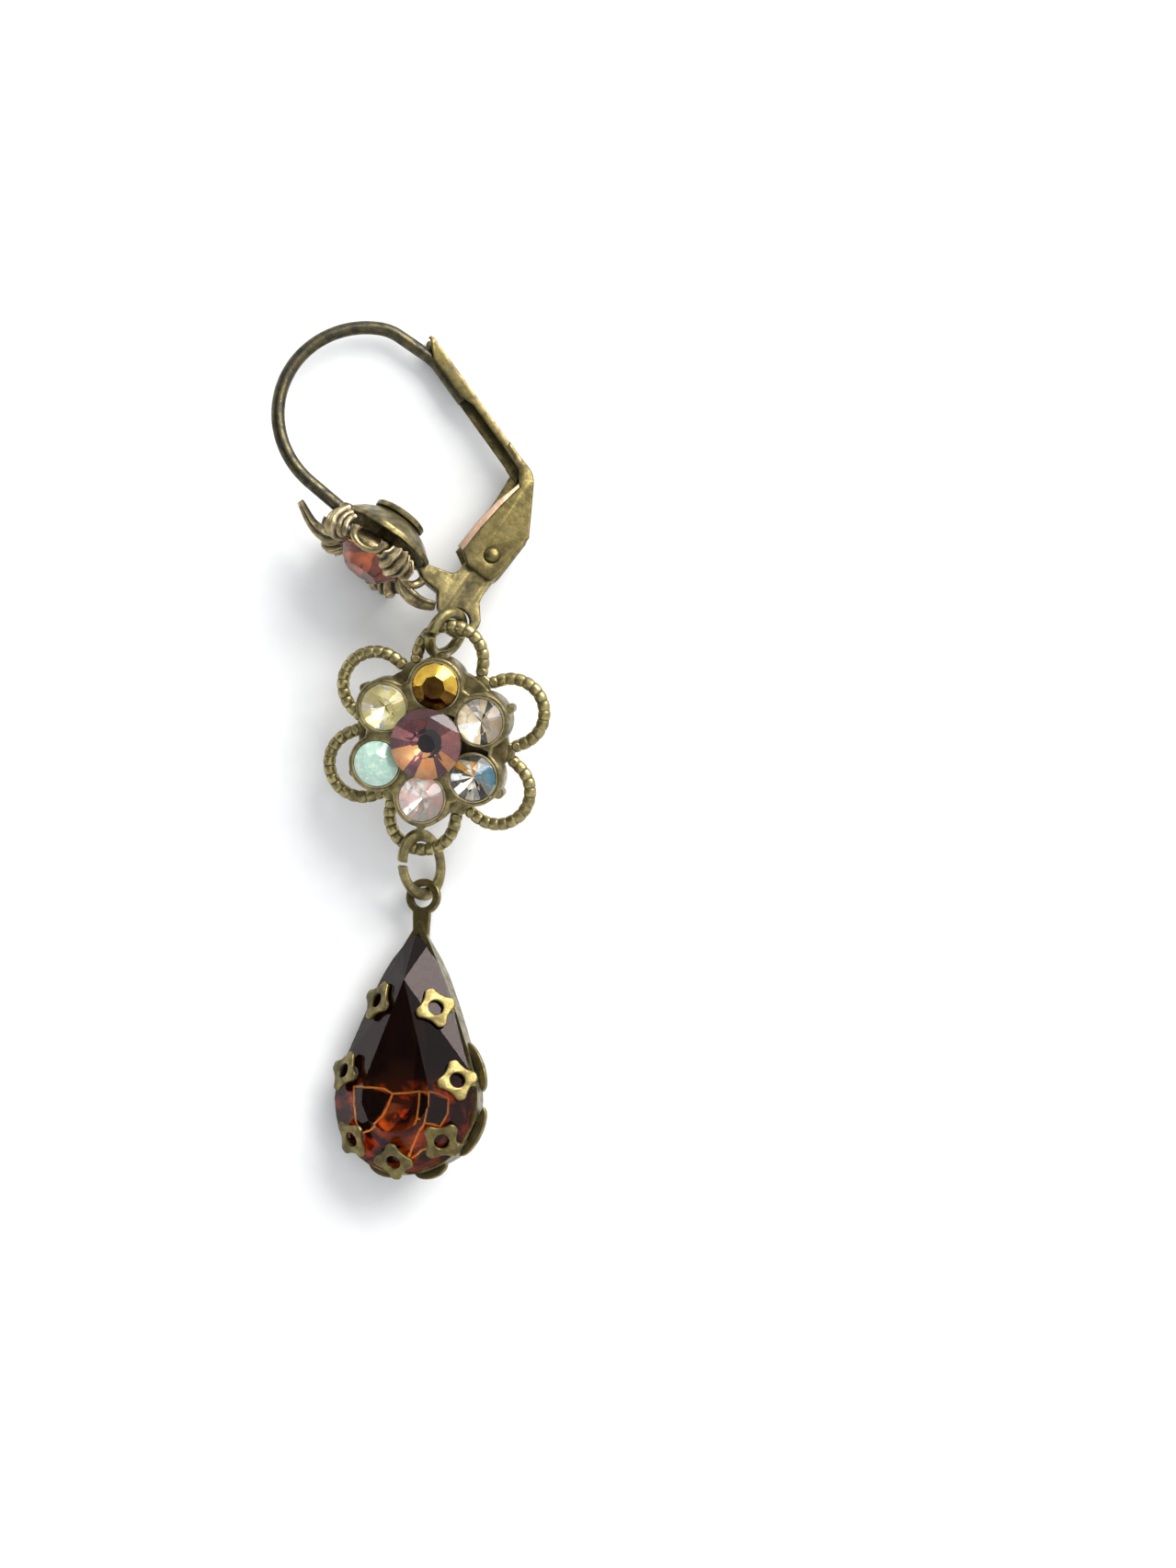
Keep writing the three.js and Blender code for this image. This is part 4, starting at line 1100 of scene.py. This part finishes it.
star = []
for quarter in range(4):
    turn = Matrix.Rotation(quarter * math.pi / 2, 2)
    corner = [(0.98, -0.27), (1.08, -0.16), (1.1, 0), (1.08, 0.16), (0.98, 0.27)]
    corner += swoop((0.98, 0.27), (0.47, 0.47), (0.27, 0.98), 10)[:-1]
    star += [tuple(turn @ Vector(point)) for point in corner]
plate = cut_sheet(star, 0.22, 0.06, [arc(0, 0, 0.4, 0, 345, 23)])
slope = math.atan2(TABLE_Z, STONE_R - TABLE_R)
set_at(plate, moved(0, 0, 0.74) @ Matrix.Rotation(slope, 4, "Y"))
fresh()
bpy.ops.mesh.primitive_cube_add(size=1, location=(0.5, 0, -0.3), scale=(0.24, 0.9, 1.1))
neck = bpy.context.object
set_at(neck)
soften(neck, 0.08)
claw = soldered("claw", plate, neck)

inside = keeled(WALL_R, WALL_R - 0.22, 0.5, 0.35)
setting = keeled(SETTING_R, SETTING_R - 0.22, -0.3, 0)
carve(setting, copy_of(inside))
parts = []
outward = Matrix.Rotation(math.pi / 2, 4, "Y")
hoop = arc(0, 0, 1, -90, 90, 24) + [(x * 0.08, y * 0.8) for x, y in arc(0, 0, 1, 90, -90, 24)]
for along in (1.5, 4.75, 8.5, -1.4, -4.7, -8.7):
    spot = on_pear(SETTING_R, along)
    long = 1.45 if abs(along) > 4 else 0.95
    bow = cut_sheet([(x * 0.58, y * long) for x, y in hoop], 0.34, 0.06)
    parts.append(set_at(bow, spot @ moved(-0.24, 0, -1.2)))
    for r, reach, sides, z, stretch in ((0.42, 0.8, 24, -0.85, 1.6), (0.3, 0.6, 20, -0.08, 2.2)):
        opening = turned([(r, -reach), (r, reach)], sides)
        level = spot @ moved(0, 0, z) @ Matrix.Diagonal((1, stretch, 1, 1))
        carve(setting, set_at(opening, level @ outward))
LOOP = (-0.02, 10.78)
eyelet = [(-0.4, 8.3), (0.45, 8.3), (0.45, 10.0)] + arc(*LOOP, 0.97, -58, 238, 40)
loop = cut_sheet(eyelet, 0.35, 0.08, [arc(*LOOP, 0.57, 0, 345, 23)])
set_at(loop, moved(0, 0, -0.7))
parts.append(carve(loop, copy_of(inside)))
bpy.data.objects.remove(inside)
for along in (0, 3.0, 6.45, 10.5, -2.75, -6.6, -10.75):
    parts.append(set_at(copy_of(claw), on_pear(CLAW_R, along)))
bpy.data.objects.remove(claw)
soften(setting, 0.03, 50)
setting = soldered("pear_claws", setting, *parts)
CLAW_BRASS = brass("claw_brass", (0.23, 0.183, 0.068), (0.111, 0.085, 0.032), (0.022, 0.02, 0.01),
                   (0.55, 0.47, 0.25), patches=0.5, hollows=1.0, wear=0.6)
finished(setting, DROP, CLAW_BRASS)
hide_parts("pear_setting")
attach(setting, "earring")


# ---------------------------------------------------------------- pear stone
# A large pressed glass pear, smoky brown, with long crown facets round a dark table. Its foiled
# back has rounded facet edges that show as golden lines, which are painted highlights, between two
# dark facets of painted shade. Its amber glow towards the round end is painted into the crown's tint
# and onto the back.

def smoky(name):
    """Smoky glass: almost black towards the point, amber towards the round end, the amber a painted glow."""
    material, tree, shader = new_material(name)
    point = object_point(tree)
    axis = tree.nodes.new("ShaderNodeSeparateXYZ")
    fill(tree, axis, {0: point})
    wander = spread(tree, noise(tree, point, 500, 2), 0.3, 0.7, -0.0005, 0.0005)
    # Painted glow: the tint goes from amber at the round end to near black towards the point.
    toward_point = spread(tree, maths(tree, "ADD", axis.outputs["Y"], wander), -0.0195, -0.0165)
    cloud = spread(tree, noise(tree, point, 900, 4), 0.35, 0.7)
    amber = tinted(tree, cloud, (0.95, 0.46, 0.16, 1), (0.78, 0.28, 0.07, 1))
    rubbing = spread(tree, noise(tree, point, 3600, 5, 0.7), 0.45, 0.85, 0.02, 0.16)
    fill(tree, shader, {
        "Base Color": tinted(tree, toward_point, amber, (0.2, 0.075, 0.045, 1)), "Roughness": rubbing,
        "IOR": 1.36, "Specular Tint": (1.0, 0.82, 0.8, 1), "Transmission Weight": 1.0})
    return material


def ember_back(name):
    """The back of the pear: dark brown, with amber and red patches under the round end as a painted glow, and
    nearly black towards the point.
    """
    material, tree, shader = new_material(name)
    point = object_point(tree)
    axis = tree.nodes.new("ShaderNodeSeparateXYZ")
    fill(tree, axis, {0: point})
    patch = spread(tree, noise(tree, point, 520, 2, 0.5, 0.5), 0.47, 0.6)
    glow = spread(tree, noise(tree, point, 900, 2), 0.55, 0.7)
    colour = tinted(tree, patch, (0.04, 0.007, 0.002, 1), (0.7, 0.2, 0.02, 1))
    colour = tinted(tree, glow, colour, (0.95, 0.12, 0.015, 1))
    upper = spread(tree, axis.outputs["Y"], -0.0184, -0.0178)
    fill(tree, shader, {
        "Base Color": tinted(tree, upper, colour, (0.02, 0.006, 0.004, 1)), "Metallic": 0.6,
        "Roughness": spread(tree, patch, 0.0, 1.0, 0.2, 0.3)})
    return material


girdle = []
for x, y in pear(3.97, 16, 8):
    full = max(0.0, (y - 3.5) / 5.8)
    girdle.append((x * (1 + 0.34 * full ** 1.5), y - 0.55 * full ** 4))
points = [(x, y, 0.02) for x, y in girdle] + [(x, y, -0.2) for x, y in girdle]
half = math.asin(TABLE_R / 6.2)
table_edge = [(0, 6.2)] + arc(0, 0, TABLE_R, math.degrees(half), -180 - math.degrees(half), 7)
points += [(x, y, TABLE_Z) for x, y in table_edge]
points += [(x, y, -1.35) for x, y in pear(2.2, 8, 1)] + [(0, 2.6, -2.25), (0, -0.4, -2.35)]
stone = hull_of(points)
GOLDEN = foil("golden_highlight_line", (1.0, 0.86, 0.45), (1.0, 0.6, 0.16), 0.1, 0.3)
finishes = [smoky("smoky_crown"), ember_back("ember_back"), GOLDEN, BLACK_SHADE]
backed(stone, -0.22, finishes[0], finishes[1:], every("0"))


def depth_at(x, y):
    """The inside of the stone's back under a point."""
    hit, place, *_ = stone.ray_cast(Vector((x, y, -0.1)), Vector((0, 0, -1)))
    return place.z if hit else -1.0


# Golden lines along the facet edges, which are painted highlights, and the two dark facets that they frame,
# which are painted shade.
lines = (
    [(-2.74, 0.43), (-2.0, 0.46), (-1.47, 0.43), (-1.03, 0.21), (-0.3, 0.3), (0.43, 0.43), (1.1, 0.36),
     (1.9, 0.14)],
    [(-1.03, 0.21), (-1.2, -0.4), (-1.42, -1.03), (-1.8, -1.5), (-2.25, -1.81)],
    [(-2.74, 0.43), (-2.62, -0.5), (-2.54, -1.23), (-2.25, -1.81)],
    [(0.43, 0.43), (0.45, -0.3), (0.45, -1.03), (1.0, -1.1), (1.6, -1.23), (1.95, -0.6), (1.9, 0.14)],
    [(0.45, -1.03), (0.3, -2.1), (0.33, -3.18)],
    [(0.33, -3.18), (0.7, -2.8), (0.92, -2.5), (1.7, -2.3)],
)
parts = []
for line in lines:
    edge = bpy.data.curves.new("line", "CURVE")
    edge.dimensions = "3D"
    edge.bevel_depth = 0.062
    edge.bevel_resolution = 1
    edge.use_fill_caps = True
    drawn(edge, [(x, y, depth_at(x, y) + 0.09) for x, y in line])
    brought_in("line", edge)
    bpy.ops.object.convert(target="MESH")
    parts.append(clad(bpy.context.object, finishes, finishes.index(GOLDEN)))
for cell in (
    [(-2.6, 0.3), (-1.55, 0.3), (-1.15, 0.1), (-1.5, -0.95), (-2.2, -1.6), (-2.42, -1.15), (-2.5, -0.5)],
    [(0.56, 0.25), (1.76, 0.05), (1.8, -0.55), (1.5, -1.1), (0.58, -0.92)],
):
    pane = cut_sheet(cell, 0.05, 0.01)
    for point in pane.data.vertices:
        point.co.z += depth_at(point.co.x, point.co.y) + 0.06
    parts.append(clad(pane, finishes, finishes.index(BLACK_SHADE)))
stone = soldered("pear_drop_stone", stone, *parts)
finished(stone, DROP, smooth=1)
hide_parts("pear_stone")
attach(stone, "earring")
